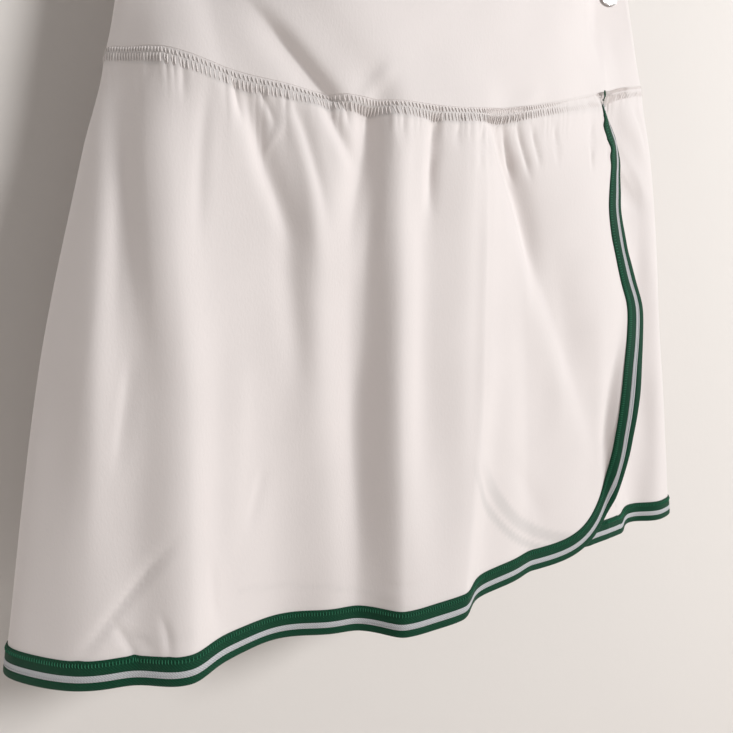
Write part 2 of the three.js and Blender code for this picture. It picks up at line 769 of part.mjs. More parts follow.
function yokePlaces(fromAngle, toAngle, columns, rows) {
  const inward = Math.sign(toAngle - fromAngle);
  return steps(rows).map((v) => steps(columns).map((u) => {
    let angle = lerp(fromAngle, toAngle, u);
    const level = v * (SEAM - gapLevel(angle, true));
    if (u === 0) angle += inward * gapTurn(angle, level);
    if (u === 1) angle -= inward * gapTurn(angle, level);
    return [angle, level];
  }));
}

// ---------------------------------------------------------------- inner shorts

const SHORTS_TURNS = 22;
const SHORTS_CENTRE_CELLS = 4;

// One level of a leg: from the centre front round the outside to the centre back,
// and then forward again along the centre wall.
function shortsSection(side, share) {
  const last = shortsLevels[shortsLevels.length - 1];
  const flatZ = lerp(last.z, shortsLevels[0].z, share);
  const half = read(shortsLevels, 'z', 'half', flatZ);
  const centreX = side * SHORTS_CENTRE_GAP / 2;
  const points = [];
  for (let i = 0; i <= SHORTS_TURNS; i += 1) {
    const turned = 90 - (i / SHORTS_TURNS) * 180;
    const front = turned >= 0;
    const across = side * Math.cos(radians(turned));
    const x = i % SHORTS_TURNS === 0 ? centreX : across * half;
    const z = lerp(last.z, shortsTop(x, front), share);
    const fullness = read(shortsLevels, 'z', front ? 'front' : 'back', flatZ);
    const flat = read(front ? frontDepths : backDepths, 'across', 'seam', across);
    const skirtDepth = Math.abs(bodyPoint(...placeOn(front, x, z)).y);
    const tuck = SHORTS_WRAP_SET_IN * smoothStep(SHORTS_WRAP_FROM, SHORTS_WRAP_TO, x);
    const room = skirtDepth - (front ? SHORTS_FRONT_SET_IN + tuck : SHORTS_BACK_SET_IN);
    const depth = Math.min(flat * fullness, room) * sideRound(across);
    points.push(new THREE.Vector3(x, front ? -depth : depth, z));
  }
  const back = points[SHORTS_TURNS];
  for (let i = 1; i < SHORTS_CENTRE_CELLS; i += 1) {
    const point = back.clone().lerp(points[0], i / SHORTS_CENTRE_CELLS);
    point.z -= CROTCH.dip * Math.sin(Math.PI * i / SHORTS_CENTRE_CELLS) * share / CROTCH.share;
    points.push(point);
  }
  return points;
}

// A leg's section moved out by a distance, open at the centre or closed by its wall.
function offsetSection(points, distance, side, isClosed) {
  const wallFrom = SHORTS_TURNS + 1;
  const around = isClosed ? points.length : wallFrom;
  return points.map((point, i) => {
    if (i >= around) return point;
    const behind = isClosed || i > 0 ? points[(i + around - 1) % around] : point;
    const ahead = isClosed || i < around - 1 ? points[(i + 1) % around] : point;
    const flat = (from, to) => new THREE.Vector2(to.x - from.x, to.y - from.y).normalize();
    const first = flat(behind, point);
    const second = flat(point, ahead);
    const along = first.clone().add(second).normalize();
    const square = Math.max(0.5, along.dot(first.length() > 0 ? first : second));
    const step = side * distance / square;
    return new THREE.Vector3(point.x + along.y * step, point.y - along.x * step, point.z);
  });
}

function shortsTop(x, front) {
  const across = clamp(x / read(widths, 'level', 'half', SEAM), -1, 1);
  return read(front ? frontHeights : backHeights, 'across', 'seam', across) + SHORTS_RISE;
}

// One leg: a tube below the crotch, and above it open along the centre.
function shortsHalf(side) {
  const shares = [1, 0.82, 0.64, 0.46, CROTCH.share, 0.14, 0];
  const crotchRow = shares.indexOf(CROTCH.share);
  const layer = (distance) => shares.map((share, r) => (
    offsetSection(shortsSection(side, share), distance, side, r >= crotchRow)));
  const outer = layer(SHORTS_WALL / 2);
  const inner = layer(-SHORTS_WALL / 2);
  const isKept = (r, c) => c < SHORTS_TURNS || r >= crotchRow;
  if (side > 0) return shellGeometry(outer, inner, isKept, true);
  return shellGeometry(inner, outer, isKept, true);
}

function toManifold(geometry) {
  const bare = geometry.clone();
  bare.deleteAttribute('normal');
  bare.deleteAttribute('uv');
  const merged = mergeVertices(bare, 1e-4);
  return new wasm.Manifold(new wasm.Mesh({
    numProp: 3,
    vertProperties: new Float32Array(merged.attributes.position.array),
    triVerts: new Uint32Array(merged.index.array),
  }));
}

function fromManifold(solid) {
  const mesh = solid.getMesh();
  const geometry = new THREE.BufferGeometry();
  geometry.setAttribute('position', new THREE.BufferAttribute(mesh.vertProperties, 3));
  geometry.setIndex(new THREE.BufferAttribute(mesh.triVerts, 1));
  geometry.computeVertexNormals();
  return geometry;
}

// ---------------------------------------------------------------- hanger pieces

function hookGeometry() {
  const radius = HOOK.inside + HOOK.wire / 2;
  const centreZ = -HOOK.inside;
  const points = [];
  for (let angle = HOOK.fromAngle; angle <= HOOK.toAngle; angle += HOOK.stepAngle) {
    const a = radians(angle);
    points.push(new THREE.Vector3(-radius * Math.cos(a), 0, centreZ + radius * Math.sin(a)));
  }
  for (const { x, z } of hookNeck) points.push(new THREE.Vector3(x, 0, z));
  const path = new THREE.CatmullRomCurve3(points, false, 'centripetal');
  const section = new THREE.Shape();
  section.absarc(0, 0, HOOK.wire / 2, 0, Math.PI * 2);
  return new THREE.ExtrudeGeometry(section, {
    extrudePath: path,
    steps: 38,
    curveSegments: 5,
    bevelEnabled: false,
  });
}

// The socket that carries the hook, sitting on the bar.
function socketGeometry() {
  const low = BAR.z + BAR.diameter / 2 + SEAM_GAP;
  const profile = [
    new THREE.Vector2(0, low),
    new THREE.Vector2(SOCKET.wide / 2, low),
    new THREE.Vector2(SOCKET.wide / 2, low + SOCKET.rim),
    new THREE.Vector2(HOOK.wire / 2 + SOCKET.rim, low + SOCKET.tall),
    new THREE.Vector2(0, low + SOCKET.tall),
  ];
  const geometry = new THREE.LatheGeometry(profile, 20);
  geometry.rotateX(Math.PI / 2);
  return geometry;
}

function barGeometry() {
  const geometry = new THREE.CylinderGeometry(BAR.diameter / 2, BAR.diameter / 2, BAR.long, 20);
  geometry.rotateZ(Math.PI / 2);
  geometry.translate(0, 0, BAR.z);
  return geometry;
}

function capGeometry(side) {
  const geometry = new THREE.CylinderGeometry(BAR.cap / 2, BAR.cap / 2, BAR.capLong, 20);
  geometry.rotateZ(Math.PI / 2);
  geometry.translate(side * (BAR.long / 2 + SEAM_GAP + BAR.capLong / 2), 0, BAR.z);
  return geometry;
}

// A flat link that hangs the clip's pin from the bar.
function linkGeometry(side) {
  const barEye = BAR.diameter / 2 + SEAM_GAP;
  const pinEye = CLIP_PIN / 2 + SEAM_GAP;
  const top = BAR.z;
  const low = CLIP.pivotZ;
  const lean = Math.asin((barEye - pinEye) / (top - low));
  const outline = new THREE.Shape();
  outline.absarc(0, top, barEye + LINK.rim, -lean, Math.PI + lean, false);
  outline.absarc(0, low, pinEye + LINK.rim, Math.PI + lean, 2 * Math.PI - lean, false);
  for (const [z, radius] of [[top, barEye], [low, pinEye]]) {
    const hole = new THREE.Path();
    hole.absarc(0, z, radius, 0, Math.PI * 2, true);
    outline.holes.push(hole);
  }
  const geometry = new THREE.ExtrudeGeometry(outline, {
    depth: LINK.wide,
    curveSegments: 10,
    bevelEnabled: false,
  });
  standUp(geometry);
  geometry.translate(side * CLIP.x - LINK.wide / 2, 0, 0);
  return geometry;
}

// Turns a shape drawn as (y, z) and extruded along its third axis to face along X.
function standUp(geometry) {
  geometry.rotateX(Math.PI / 2);
  geometry.rotateZ(Math.PI / 2);
}

function pinGeometry(side) {
  const geometry = new THREE.CylinderGeometry(CLIP_PIN / 2, CLIP_PIN / 2, CLIP.tip + 2, 12);
  geometry.rotateZ(Math.PI / 2);
  geometry.translate(side * CLIP.x, 0, CLIP.pivotZ);
  return geometry;
}

// A close-wound spring on the pin, on one side of the link.
function springGeometry(side, hand) {
  const inner = CLIP_PIN / 2 + SEAM_GAP;
  const { wire, coils } = SPRING;
  const profile = [new THREE.Vector2(inner, 0)];
  for (let i = 0; i < coils; i += 1) {
    profile.push(new THREE.Vector2(inner + wire * 0.7, i * wire + wire * 0.05));
    profile.push(new THREE.Vector2(inner + wire, i * wire + wire * 0.5));
    profile.push(new THREE.Vector2(inner + wire * 0.7, i * wire + wire * 0.95));
  }
  profile.push(new THREE.Vector2(inner, coils * wire));
  profile.push(profile[0].clone());
  const geometry = new THREE.LatheGeometry(profile, 10);
  geometry.rotateZ(-Math.PI / 2);
  const start = LINK.wide / 2 + SEAM_GAP;
  geometry.translate(side * CLIP.x + (hand > 0 ? start : -start - coils * wire), 0, CLIP.pivotZ);
  return geometry;
}

// One bent jaw: its side view along X, cut to the outline seen from the front.
function jawGeometry(side, face) {
  const clear = YOKE_WALL / 2 + PINCH.apart + SEAM_GAP;
  const lifted = CLIP_PIN / 2 + SEAM_GAP + JAW.lift;
  const bends = [
    [clear, CLIP.bottom],
    [clear, CLIP.pivotZ - JAW.bendBelow],
    [lifted, CLIP.pivotZ - JAW.bendAt],
    [lifted, CLIP.pivotZ + JAW.bendAt],
    [lifted + JAW.flare, BAR.z - 1],
    [lifted + JAW.wing, CLIP.top],
  ];
  const section = new THREE.Shape();
  const outer = bends.map(([y, z]) => [y + CLIP.plate, z]).reverse();
  [...bends, ...outer].forEach(([y, z], i) => {
    if (i === 0) section.moveTo(face * y, z);
    else section.lineTo(face * y, z);
  });
  const blank = new THREE.ExtrudeGeometry(section, { depth: CLIP.root + 4, bevelEnabled: false });
  standUp(blank);
  blank.translate(-CLIP.root / 2 - 2, 0, 0);
  const outline = new THREE.Shape();
  const tip = CLIP.tip / 2;
  const root = CLIP.root / 2;
  const { corner, waist } = JAW;
  outline.moveTo(-tip + corner, CLIP.bottom);
  outline.lineTo(tip - corner, CLIP.bottom);
  outline.absarc(tip - corner, CLIP.bottom + corner, corner, -Math.PI / 2, 0, false);
  outline.lineTo(tip + waist, CLIP.pivotZ - 4);
  outline.lineTo(root, CLIP.top - corner);
  outline.absarc(root - corner, CLIP.top - corner, corner, 0, Math.PI / 2, false);
  outline.absarc(corner - root, CLIP.top - corner, corner, Math.PI / 2, Math.PI, false);
  outline.lineTo(-tip - waist, CLIP.pivotZ - 4);
  outline.absarc(corner - tip, CLIP.bottom + corner, corner, Math.PI, Math.PI * 1.5, false);
  const stamp = new THREE.ExtrudeGeometry(outline, {
    depth: 60,
    curveSegments: 5,
    bevelEnabled: false,
  });
  stamp.rotateX(Math.PI / 2);
  stamp.translate(0, 30, 0);
  const geometry = fromManifold(toManifold(blank).intersect(toManifold(stamp)));
  geometry.translate(side * CLIP.x, 0, 0);
  return geometry;
}

// ---------------------------------------------------------------- materials

const cloth = new THREE.MeshStandardMaterial({ color: 0xe9dfdb, roughness: 0.75, metalness: 0 });
const lining = new THREE.MeshStandardMaterial({ color: 0xe2d8d3, roughness: 0.8, metalness: 0 });
const tapeGreen = new THREE.MeshStandardMaterial({ color: 0x10382a, roughness: 0.7, metalness: 0 });
const chrome = new THREE.MeshStandardMaterial({ color: 0xc9c9c8, roughness: 0.2, metalness: 1 });

// ---------------------------------------------------------------- the object

const group = new THREE.Group();
group.name = 'skort_on_clip_hanger';

function add(name, geometry, material) {
  const mesh = new THREE.Mesh(geometry, material);
  mesh.name = name;
  group.add(mesh);
}

const skirtWall = [SKIRT_WALL / 2, -SKIRT_WALL / 2];
const tapeWall = [SKIRT_WALL / 2 + SEAM_GAP + TAPE_WALL, SKIRT_WALL / 2 + SEAM_GAP];
const yokeWall = [YOKE_WALL / 2, -YOKE_WALL / 2];

add('yoke_front', wallGeometry(yokePlaces(LEFT_SEAM, RIGHT_SEAM, 56, 8), ...yokeWall), cloth);
add('yoke_back', wallGeometry(yokePlaces(RIGHT_SEAM, LEFT_SEAM - 360, 36, 4), ...yokeWall), cloth);
add('skirt_front_over', wallGeometry(overPlaces, ...skirtWall), cloth);
add('skirt_front_under', wallGeometry(underPlaces, ...skirtWall), cloth);
add('skirt_back', wallGeometry(backPlaces, ...skirtWall), cloth);

const lastRow = (places) => places.length - 2;
const lastColumn = (places) => places[0].length - 2;
const isOverTape = (r, c) => r === lastRow(overPlaces) || c === lastColumn(overPlaces);
const isUnderTape = (r, c) => r === lastRow(underPlaces) || c === 0;
const isBackTape = (r) => r === lastRow(backPlaces);
add('tape_front_over', wallGeometry(overPlaces, ...tapeWall, isOverTape), tapeGreen);
add('tape_front_under', wallGeometry(underPlaces, ...tapeWall, isUnderTape), tapeGreen);
add('tape_back', wallGeometry(backPlaces, ...tapeWall, isBackTape), tapeGreen);

add('shorts_right_leg', shortsHalf(-1), lining);
add('shorts_left_leg', shortsHalf(1), lining);

add('hanger_hook', hookGeometry(), chrome);
add('hanger_socket', socketGeometry(), chrome);
add('hanger_bar', barGeometry(), chrome);
for (const [side, word] of [[-1, 'a'], [1, 'b']]) {
  add(`hanger_cap_${word}`, capGeometry(side), chrome);
  add(`clip_link_${word}`, linkGeometry(side), chrome);
  add(`clip_pin_${word}`, pinGeometry(side), chrome);
  add(`clip_spring_${word}1`, springGeometry(side, 1), chrome);
  add(`clip_spring_${word}2`, springGeometry(side, -1), chrome);
  add(`clip_jaw_front_${word}`, jawGeometry(side, -1), chrome);
  add(`clip_jaw_back_${word}`, jawGeometry(side, 1), chrome);
}

export default group;
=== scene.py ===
"""Dressed model of a wrap skort on a clip hanger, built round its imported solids.

Tables and helpers work in millimetres, and meshes are made in metres. A point of the
cloth is found from an angle round the body (0 at +X, 90 at the centre front, 270 at
the centre back) and a level (0 at the waist edge, 1 at the yoke seam, 2 at the hem).
Left and right are as seen from the front, so left is -X, except where the wearer's are named.
"""

import bmesh
import bpy
import numpy as np
from bpy.props import FloatProperty, FloatVectorProperty, IntProperty, PointerProperty
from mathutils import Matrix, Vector


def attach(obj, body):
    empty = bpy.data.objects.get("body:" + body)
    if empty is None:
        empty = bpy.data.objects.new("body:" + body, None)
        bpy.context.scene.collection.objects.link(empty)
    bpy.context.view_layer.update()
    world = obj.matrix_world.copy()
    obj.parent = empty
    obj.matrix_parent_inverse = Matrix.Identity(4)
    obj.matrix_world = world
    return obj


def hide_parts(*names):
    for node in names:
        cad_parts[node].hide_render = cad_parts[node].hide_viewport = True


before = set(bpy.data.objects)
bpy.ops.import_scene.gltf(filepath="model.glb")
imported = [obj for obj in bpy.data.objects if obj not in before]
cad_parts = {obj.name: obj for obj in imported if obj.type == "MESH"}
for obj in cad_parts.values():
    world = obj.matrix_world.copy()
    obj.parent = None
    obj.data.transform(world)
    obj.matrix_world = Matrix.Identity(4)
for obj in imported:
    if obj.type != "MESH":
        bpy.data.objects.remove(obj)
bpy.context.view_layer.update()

bl_info = {
    "name": "Wrap Skort on a Clip Hanger",
    "version": (1, 0, 0),
    "blender": (4, 5, 0),
    "location": "3D View > Sidebar > Skort",
    "description": "Builds a knit wrap skort with striped tape on a clip hanger",
    "category": "Add Mesh",
}

MM = 0.001
WAIST, SEAM, HEM = 0.0, 1.0, 2.0
LEFT_SEAM, RIGHT_SEAM = 186.0, -6.0

# ---------------------------------------------------------------- sizes of the body

SKIRT_WALL, YOKE_WALL, SHORTS_WALL = 1.2, 1.5, 1.2
SIDE_TURN_POWER, FOLDS_FROM_SIDE, PINCH_FROM_SIDE = 10, 2.2, 6

# level, half width
WIDTHS = [(0, 131), (0.5, 138), (1, 147), (1.15, 157), (1.5, 178), (2, 198)]

# across, waist, seam, hem: how far the cloth stands from the side edges' plane
FRONT_DEPTHS = [
    (-1.00, 10, 14, 16), (-0.84, 22, 33, 30), (-0.60, 34, 41, 34), (-0.30, 39, 47, 35),
    (0.00, 39, 46, 34), (0.35, 34, 39, 30), (0.66, 25, 28, 22), (0.85, 15, 17, 14),
    (1.00, 9, 9, 10),
]
BACK_DEPTHS = [
    (-1.0, 8, 9, 10), (-0.6, 13, 16, 20), (0.0, 14, 20, 26), (0.6, 12, 16, 21),
    (1.0, 8, 9, 10),
]

# across, waist, seam, hem: heights
FRONT_HEIGHTS = [
    (-1.00, -127, -222, -484), (-0.90, -127, -227, -484), (-0.65, -135, -238, -483),
    (-0.35, -146, -243, -482), (0.00, -150, -242, -481), (0.35, -144, -230, -477),
    (0.65, -132, -215, -471), (0.90, -117, -200, -468), (1.00, -116, -194, -468),
]
BACK_HEIGHTS = [
    (-1.0, -127, -222, -484), (-0.6, -130, -224, -483), (0.0, -134, -222, -481),
    (0.6, -124, -208, -476), (1.0, -116, -194, -468),
]

# x at seam, middle and hem; width to the left and right; height at seam, middle, hem
FRONT_FOLDS = [
    (-141, -138, -146, 10, 10, -2.0, -2.5, -1.5),
    (-128, -122, -124, 16, 10, 1.5, 5.0, 8.0),
    (-90, -80, -84, 24, 26, -2.0, -6.5, -11.0),
    (-43, -45, -48, 10, 7, -3.0, -5.0, -2.0),
    (-29, -30, -27, 10, 20, 2.0, 6.0, 10.5),
    (10, 14, 3, 22, 11, 2.0, 5.5, 12.0),
    (30, 50, 62, 12, 30, -1.5, -3.5, -4.0),
    (118, 160, 160, 9, 13, -3.0, -5.0, -7.0),
]
BACK_FOLDS = [
    (-112, -128, -140, 16, 14, 1.5, 3.5, 6.0),
    (-84, -94, -102, 14, 18, -1.5, -3.0, -5.0),
    (-50, -56, -60, 15, 13, 2.0, 4.0, 7.0),
    (-14, -18, -20, 16, 15, -2.0, -3.5, -5.5),
    (20, 22, 26, 14, 16, 1.5, 4.0, 7.5),
    (56, 63, 72, 16, 17, -1.5, -3.0, -5.0),
    (92, 104, 116, 14, 17, 1.5, 3.5, 6.5),
]

# x, depth, width, length
FRONT_GATHERS = [
    (-136, 0.8, 3.5, 22), (-126, 1.2, 3.0, 18), (-105, 1.6, 3.5, 34), (-98, 1.2, 3.0, 22),
    (-90, 2.0, 3.5, 40), (-81, 1.8, 3.5, 30), (-72, 2.2, 4.0, 44), (-62, 1.8, 3.5, 30),
    (-44, 1.8, 4.0, 60), (-16, 1.6, 3.5, 40), (-3, 0.8, 3.0, 20), (14, 1.4, 3.5, 28),
    (24, 1.8, 4.0, 42), (34, 1.4, 3.5, 34), (56, 0.8, 3.5, 24), (84, 1.4, 3.0, 20),
    (104, 1.8, 3.5, 30), (114, 2.0, 4.0, 40), (128, 1.6, 4.0, 30), (138, 1.0, 3.5, 22),
]
BACK_GATHER_PITCH, BACK_GATHER_REACH, BACK_GATHER_WIDE = 13, 128, 3.6
BACK_GATHER_SIZES = [(1.2, 26), (1.8, 40), (0.9, 20), (1.6, 34), (1.3, 24)]

# first point, second point, height, width to the left and right
YOKE_PULLS = [
    (-121, -150, -58, -244, -4.5, 9, 15),
    (-114, -140, -30, -236, 3.0, 9, 16),
    (-134, -150, -136, -215, -2.0, 6, 6),
    (121, -150, 97, -216, 3.0, 14, 9),
    (133, -130, 131, -200, -4.0, 7, 8),
]

# z, x of the panels' free edges, and their rounded corners (x, z, wide, deep, power)
OVER_EDGE = [
    (-205, 96), (-219, 103), (-243, 118), (-265, 122), (-293, 126), (-320, 137),
    (-350, 142), (-372, 142),
]
OVER_CORNER = (60, -372, 82, 102, 2.5)
UNDER_EDGE = [(-215, 50), (-245, 40), (-300, 22), (-345, 13), (-370, 12)]
UNDER_CORNER = (110, -370, 98, 100, 2.0)
UNDER_SET_IN, UNDER_RETURN = 4.4, (12, 40)

# z, how far the over panel's free edge rolls out, over what width
EDGE_ROLL = [
    (-205, -5.0, 13), (-250, -4.0, 14), (-280, -2.0, 15), (-310, 1.0, 18), (-340, 3.5, 22),
    (-372, 6.0, 25), (-410, 7.5, 27), (-450, 6.0, 27), (-484, 4.0, 27),
]
ROLL_FLAT, ROLL_SETTLE = 6, 28

# how much of the solids' gathers and pulls the fine form replaces
FOLDS_REPLACED = 0.75
# how far the skirt's right side eases out, from which x, and the levels over which that ends
SIDE_EASE, SIDE_EASE_FROM, SIDE_EASE_ENDS = 7.0, 122, (1.1, 1.6)
# z, how far the dressed edge draws back to the wearer's right
EDGE_DRAW = [
    (-205, -4), (-222, -5), (-232, -3.4), (-243, 0), (-252, 3.6), (-262, 6.0),
    (-272, 7.4), (-285, 6.0), (-298, 3.2), (-312, 2.0), (-327, 0), (-342, 2.4), (-357, 7.2),
    (-372, 10), (-386, 12), (-400, 13), (-412, 12), (-425, 10.5), (-437, 8.5), (-450, 6.0),
    (-465, 2.0), (-478, 0),
]
EDGE_DRAWN = (30, 14)  # widths to the left and right of the edge that it takes along
# z, how much further the dressed edge turns out
EDGE_LIFT = [
    (-205, -1), (-222, -1), (-232, 1), (-243, 4.0), (-254, 6.0), (-265, 7.0),
    (-285, 6.5), (-298, 4.0), (-327, 2.0), (-342, 2.6), (-357, 5.5), (-372, 7.0), (-386, 7.0),
    (-400, 6.0), (-425, 3.0), (-450, 0),
]

# z, half width, share of the front's depth, share of the back's depth
SHORTS_LEVELS = [
    (-216, 135, 0.86, 0.90), (-300, 138, 0.74, 0.75), (-380, 143, 0.58, 0.66),
    (-462, 147, 0.46, 0.60),
]
SHORTS_SET_IN = {"front": 8.0, "wrap": 4.0, "back": 2.8}
SHORTS_WRAP = (50, 95)
CROTCH_SHARE, CROTCH_DIP = 0.28, 14
SHORTS_RISE, SHORTS_CENTRE_GAP = 3, 4

PINCH = {"x": 124, "z": -154, "flat": 8, "across": 20, "flare": 0.25, "below": 38, "apart": 1.1}

# ---------------------------------------------------------------- fine form of the cloth

FRONT_CREASE_DEPTH = 1.25  # of the front skirt creases' listed heights
# x and z of both ends, bow, height, width to the left and right
FRONT_CREASES = [
    (-149, -236, -162, -430, 0, 3.0, 12, 7), (-144, -238, -147, -336, 2, -1.2, 5, 4),
    (-141, -262, -140, -330, 0, -0.5, 2.5, 2.5),
    (-133, -244, -131, -344, 0, 1.1, 4.5, 9), (-142, -350, -149, -392, 0, -0.7, 2.2, 4),
    (-128, -224, -133, -240, 0, -0.5, 1.5, 2), (-109, -238, -115, -300, -1, -0.7, 3, 3),
    (-98, -232, -76, -300, -1, -2.6, 4.5, 5), (-80, -284, -73, -362, 0, -1.7, 7, 6),
    (-78, -236, -66, -312, 1, 1.2, 4, 5), (-79, -248, -88, -265, 0, 0.55, 1, 1),
    (-80, -236, -64, -290, 2, -1.3, 2.8, 3.2), (-67, -236, -52, -266, 0, -2.4, 3.4, 3.6),
    (-70, -276, -66, -390, 0, 1.5, 8, 8),
    (-41, -226, -54, -300, 0, -2.6, 7, 5.0), (-53, -286, -49, -430, -1, -2.1, 11, 7.5),
    (-35, -228, -39, -322, 0, 1.9, 5, 9), (-34, -296, -29, -436, 1, 1.0, 8, 10),
    (-14, -236, -16, -284, -1, -1.8, 3, 3), (-21, -244, -22, -290, 0, 0.7, 4, 3),
    (-19, -236, -19, -424, 0, -2.0, 7, 9), (2, -242, 2, -414, 0, 1.1, 9, 7),
    (12, -262, 13, -400, 1, 0.4, 3.2, 2),
    (14, -238, 53, -320, 8, -3.0, 5, 6.5), (17, -232, 106, -404, 0, -3.3, 9, 16),
    (100, -232, 112, -372, 0, 2.4, 28, 16),
    (9, -244, 8, -264, 0, -0.9, 1.6, 1.7), (14, -244, 13, -262, 0, -0.8, 1.4, 1.6),
    (26, -240, 38, -264, 0, -1.3, 1.6, 1.8), (34, -238, 46, -262, 0, -1.1, 1.6, 1.8),
    (43, -238, 51, -257, 0, -0.8, 1.5, 1.8), (58, -236, 62, -254, 0, -0.6, 1.6, 1.8),
    (86, -230, 89, -254, 0, -0.9, 1.8, 1.9), (98, -228, 104, -250, 0, -0.7, 1.8, 2),
    (-100, -236, -97, -252, 0, -0.9, 1.4, 1.6), (-90, -236, -84, -252, 0, -1.0, 1.4, 1.5),
    (-56, -240, -53, -252, 0, -0.8, 1.5, 1.6), (-31, -240, -33, -258, 0, -0.7, 2, 2.2),
    (-3, -240, -5, -256, 0, -0.5, 1.8, 2), (-118, -230, -119, -246, 0, -0.5, 1.8, 2),
    (114, -224, 144, -264, -2, -2.4, 3, 2.6), (121, -218, 152, -262, 0, 1.0, 3, 5),
    (136, -206, 147, -232, 1, -1.0, 2, 2.5), (150, -300, 168, -420, 2, -0.9, 5, 6),
    (-130, -424, -168, -472, 0, -1.5, 2.0, 1.7), (-152, -458, -143, -474, 0, -0.9, 1.5, 1.6),
    (-150, -460, -134, -470, 0, -0.6, 1.4, 1.4), (-134, -454, -132, -472, 1, -0.8, 1.5, 2),
    (-114, -436, -112, -464, -1, -0.5, 2, 2.5), (-90, -398, -98, -424, 0, -0.5, 2, 3),
    (-100, -350, -108, -440, 2, 0.6, 7, 5), (-18, -456, -40, -459, 0, -0.5, 1.2, 1.2),
    (60, -300, 74, -400, 4, 0.5, 8, 6), (100, -330, 112, -430, 3, 0.5, 7, 7),
    (40, -410, 70, -452, 3, -0.5, 5, 6),
]
BACK_CREASES = [
    (-120, -226, -132, -330, 3, -0.8, 4, 4),
    (-72, -228, -60, -290, -2, -0.9, 3, 4),
    (-34, -226, -40, -330, 2, 0.7, 4, 3),
    (8, -224, 2, -300, 1, -0.9, 3, 3),
    (40, -222, 52, -350, 3, 0.8, 5, 4),
    (78, -216, 88, -300, 2, -0.9, 3.5, 4),
    (112, -210, 134, -330, 4, 0.8, 5, 4),
    (-150, -420, -110, -400, 2, 0.6, 3, 4),
    (60, -430, 108, -404, 3, -0.6, 4, 4),
]
YOKE_CREASES = [
    (-109, -150, -100, -244, -2, -3.4, 8, 13), (-91, -206, -43, -262, 0, -4.0, 9, 3.2),
    (-86, -200, -40, -256, 0, 0.8, 5, 9), (-139, -120, -144, -216, 0, 7.5, 4, 20),
    (-36, -226, -51, -244, 0, 1.1, 3, 3.5), (48, -220, 20, -244, 0, 0.9, 5, 4),
    (80, -220, 46, -241, 0, -0.9, 6, 6), (118, -158, 106, -206, 2, 0.7, 4, 3),
    (134, -104, 140, -182, 0, 6.5, 9, 6), (126, -104, 126, -190, 0, -2.2, 5, 4),
]
YOKE_BACK_CREASES = [
    (118, -152, 74, -206, -3, -0.9, 4, 6),
    (-118, -158, -80, -214, 3, -0.9, 4, 6),
    (10, -150, 30, -214, 3, 0.6, 7, 7),
    (-40, -152, -30, -216, 3, -0.5, 7, 6),
]

# across, how much the seam puckers there
PUCKERS = [
    (-1.0, 0.9), (-0.5, 1.0), (-0.05, 0.7), (0.2, 0.9), (0.45, 0.35), (0.7, 0.9), (1.0, 1.0),
]
PUCKER_PITCH, PUCKER_DEEP = 4.3, 0.32
PUCKER_ABOVE = 4.5  # how far puckers reach up into the yoke
SLOW_WAVE_DEEP = 0.34
# shares of a crease's length over which it fades in and out
CREASE_ENDS = ((-0.2, 0.3), (0.6, 1.15))

# rows below the seam, and a stitch's rise, run, seat on the cloth and lift
SEAM_ROWS = (-2.4, -0.1)
SEAM_STITCH_RISE, SEAM_STITCH_RUN, SEAM_STITCH_SEAT, SEAM_STITCH_LIFT = 1.9, 0.9, 0.70, 0.16
SEAM_STITCH_SINK, SEAM_SUNK = 0.2, (20, 90)
# strength of the shade painted on the cloth between the seam's threads
SEAM_PAINTED_SHADE = 0.30

TAPE_WIDTH = 12.7
TAPE_STRIPE = (0.29, 0.53)
TAPE_STITCHES = (0.79, 0.93)

# ---------------------------------------------------------------- small helpers


def step(low, high, value):
    """Smooth rise from 0 at low to 1 at high."""
    s = np.clip((value - low) / (high - low), 0, 1)
    return s * s * (3 - 2 * s)


def bump(distance, left, right):
    """Bell curve with its own width on each side."""
    return np.exp(-((distance / np.where(distance < 0, left, right)) ** 2))


def fade_out(distance, reach):
    """1 at no distance, falling off over the reach."""
    return np.exp(-((distance / reach) ** 2))


def run_length(points):
    """Length along a path up to each of its points."""
    return np.concatenate([[0], np.cumsum(np.linalg.norm(np.diff(points, axis=0), axis=1))])


def curve(rows, column):
    """Smooth curve through a table's column against its first column."""
    at = np.array([row[0] for row in rows], float)
    value = np.array([row[column] for row in rows], float)
    if at[0] > at[-1]:
        at, value = at[::-1], value[::-1]
    last = len(at) - 1
    before = np.maximum(np.arange(last + 1) - 1, 0)
    after = np.minimum(np.arange(last + 1) + 1, last)
    slope = (value[after] - value[before]) / (at[after] - at[before])

    def read(x):
        x = np.clip(x, at[0], at[-1])
        i = np.clip(np.searchsorted(at, x, side="right") - 1, 0, last - 1)
        span = at[i + 1] - at[i]
        s = (x - at[i]) / span
        return (
            value[i] * (2 * s**3 - 3 * s**2 + 1)
            + slope[i] * span * (s**3 - 2 * s**2 + s)
            + value[i + 1] * (3 * s**2 - 2 * s**3)
            + slope[i + 1] * span * (s**3 - s**2)
        )

    return read


half_width = curve(WIDTHS, 1)
FRONT_HEIGHT = [curve(FRONT_HEIGHTS, k) for k in (1, 2, 3)]
BACK_HEIGHT = [curve(BACK_HEIGHTS, k) for k in (1, 2, 3)]
FRONT_DEPTH = [curve(FRONT_DEPTHS, k) for k in (1, 2, 3)]
BACK_DEPTH = [curve(BACK_DEPTHS, k) for k in (1, 2, 3)]
over_edge_x = curve(OVER_EDGE, 1)
roll_out = curve(EDGE_ROLL, 1)
roll_wide = curve(EDGE_ROLL, 2)
edge_draw = curve(EDGE_DRAW, 1)
edge_lift = curve(EDGE_LIFT, 1)
pucker_at = curve(PUCKERS, 1)


def by_level(level, columns, across):
    """Blend of a table's waist, seam and hem columns."""
    waist, seam, hem = (column(across) for column in columns)
    above = waist + (seam - waist) * level
    return np.where(level < SEAM, above, seam + (hem - seam) * (level - SEAM))


# ---------------------------------------------------------------- the hollow body


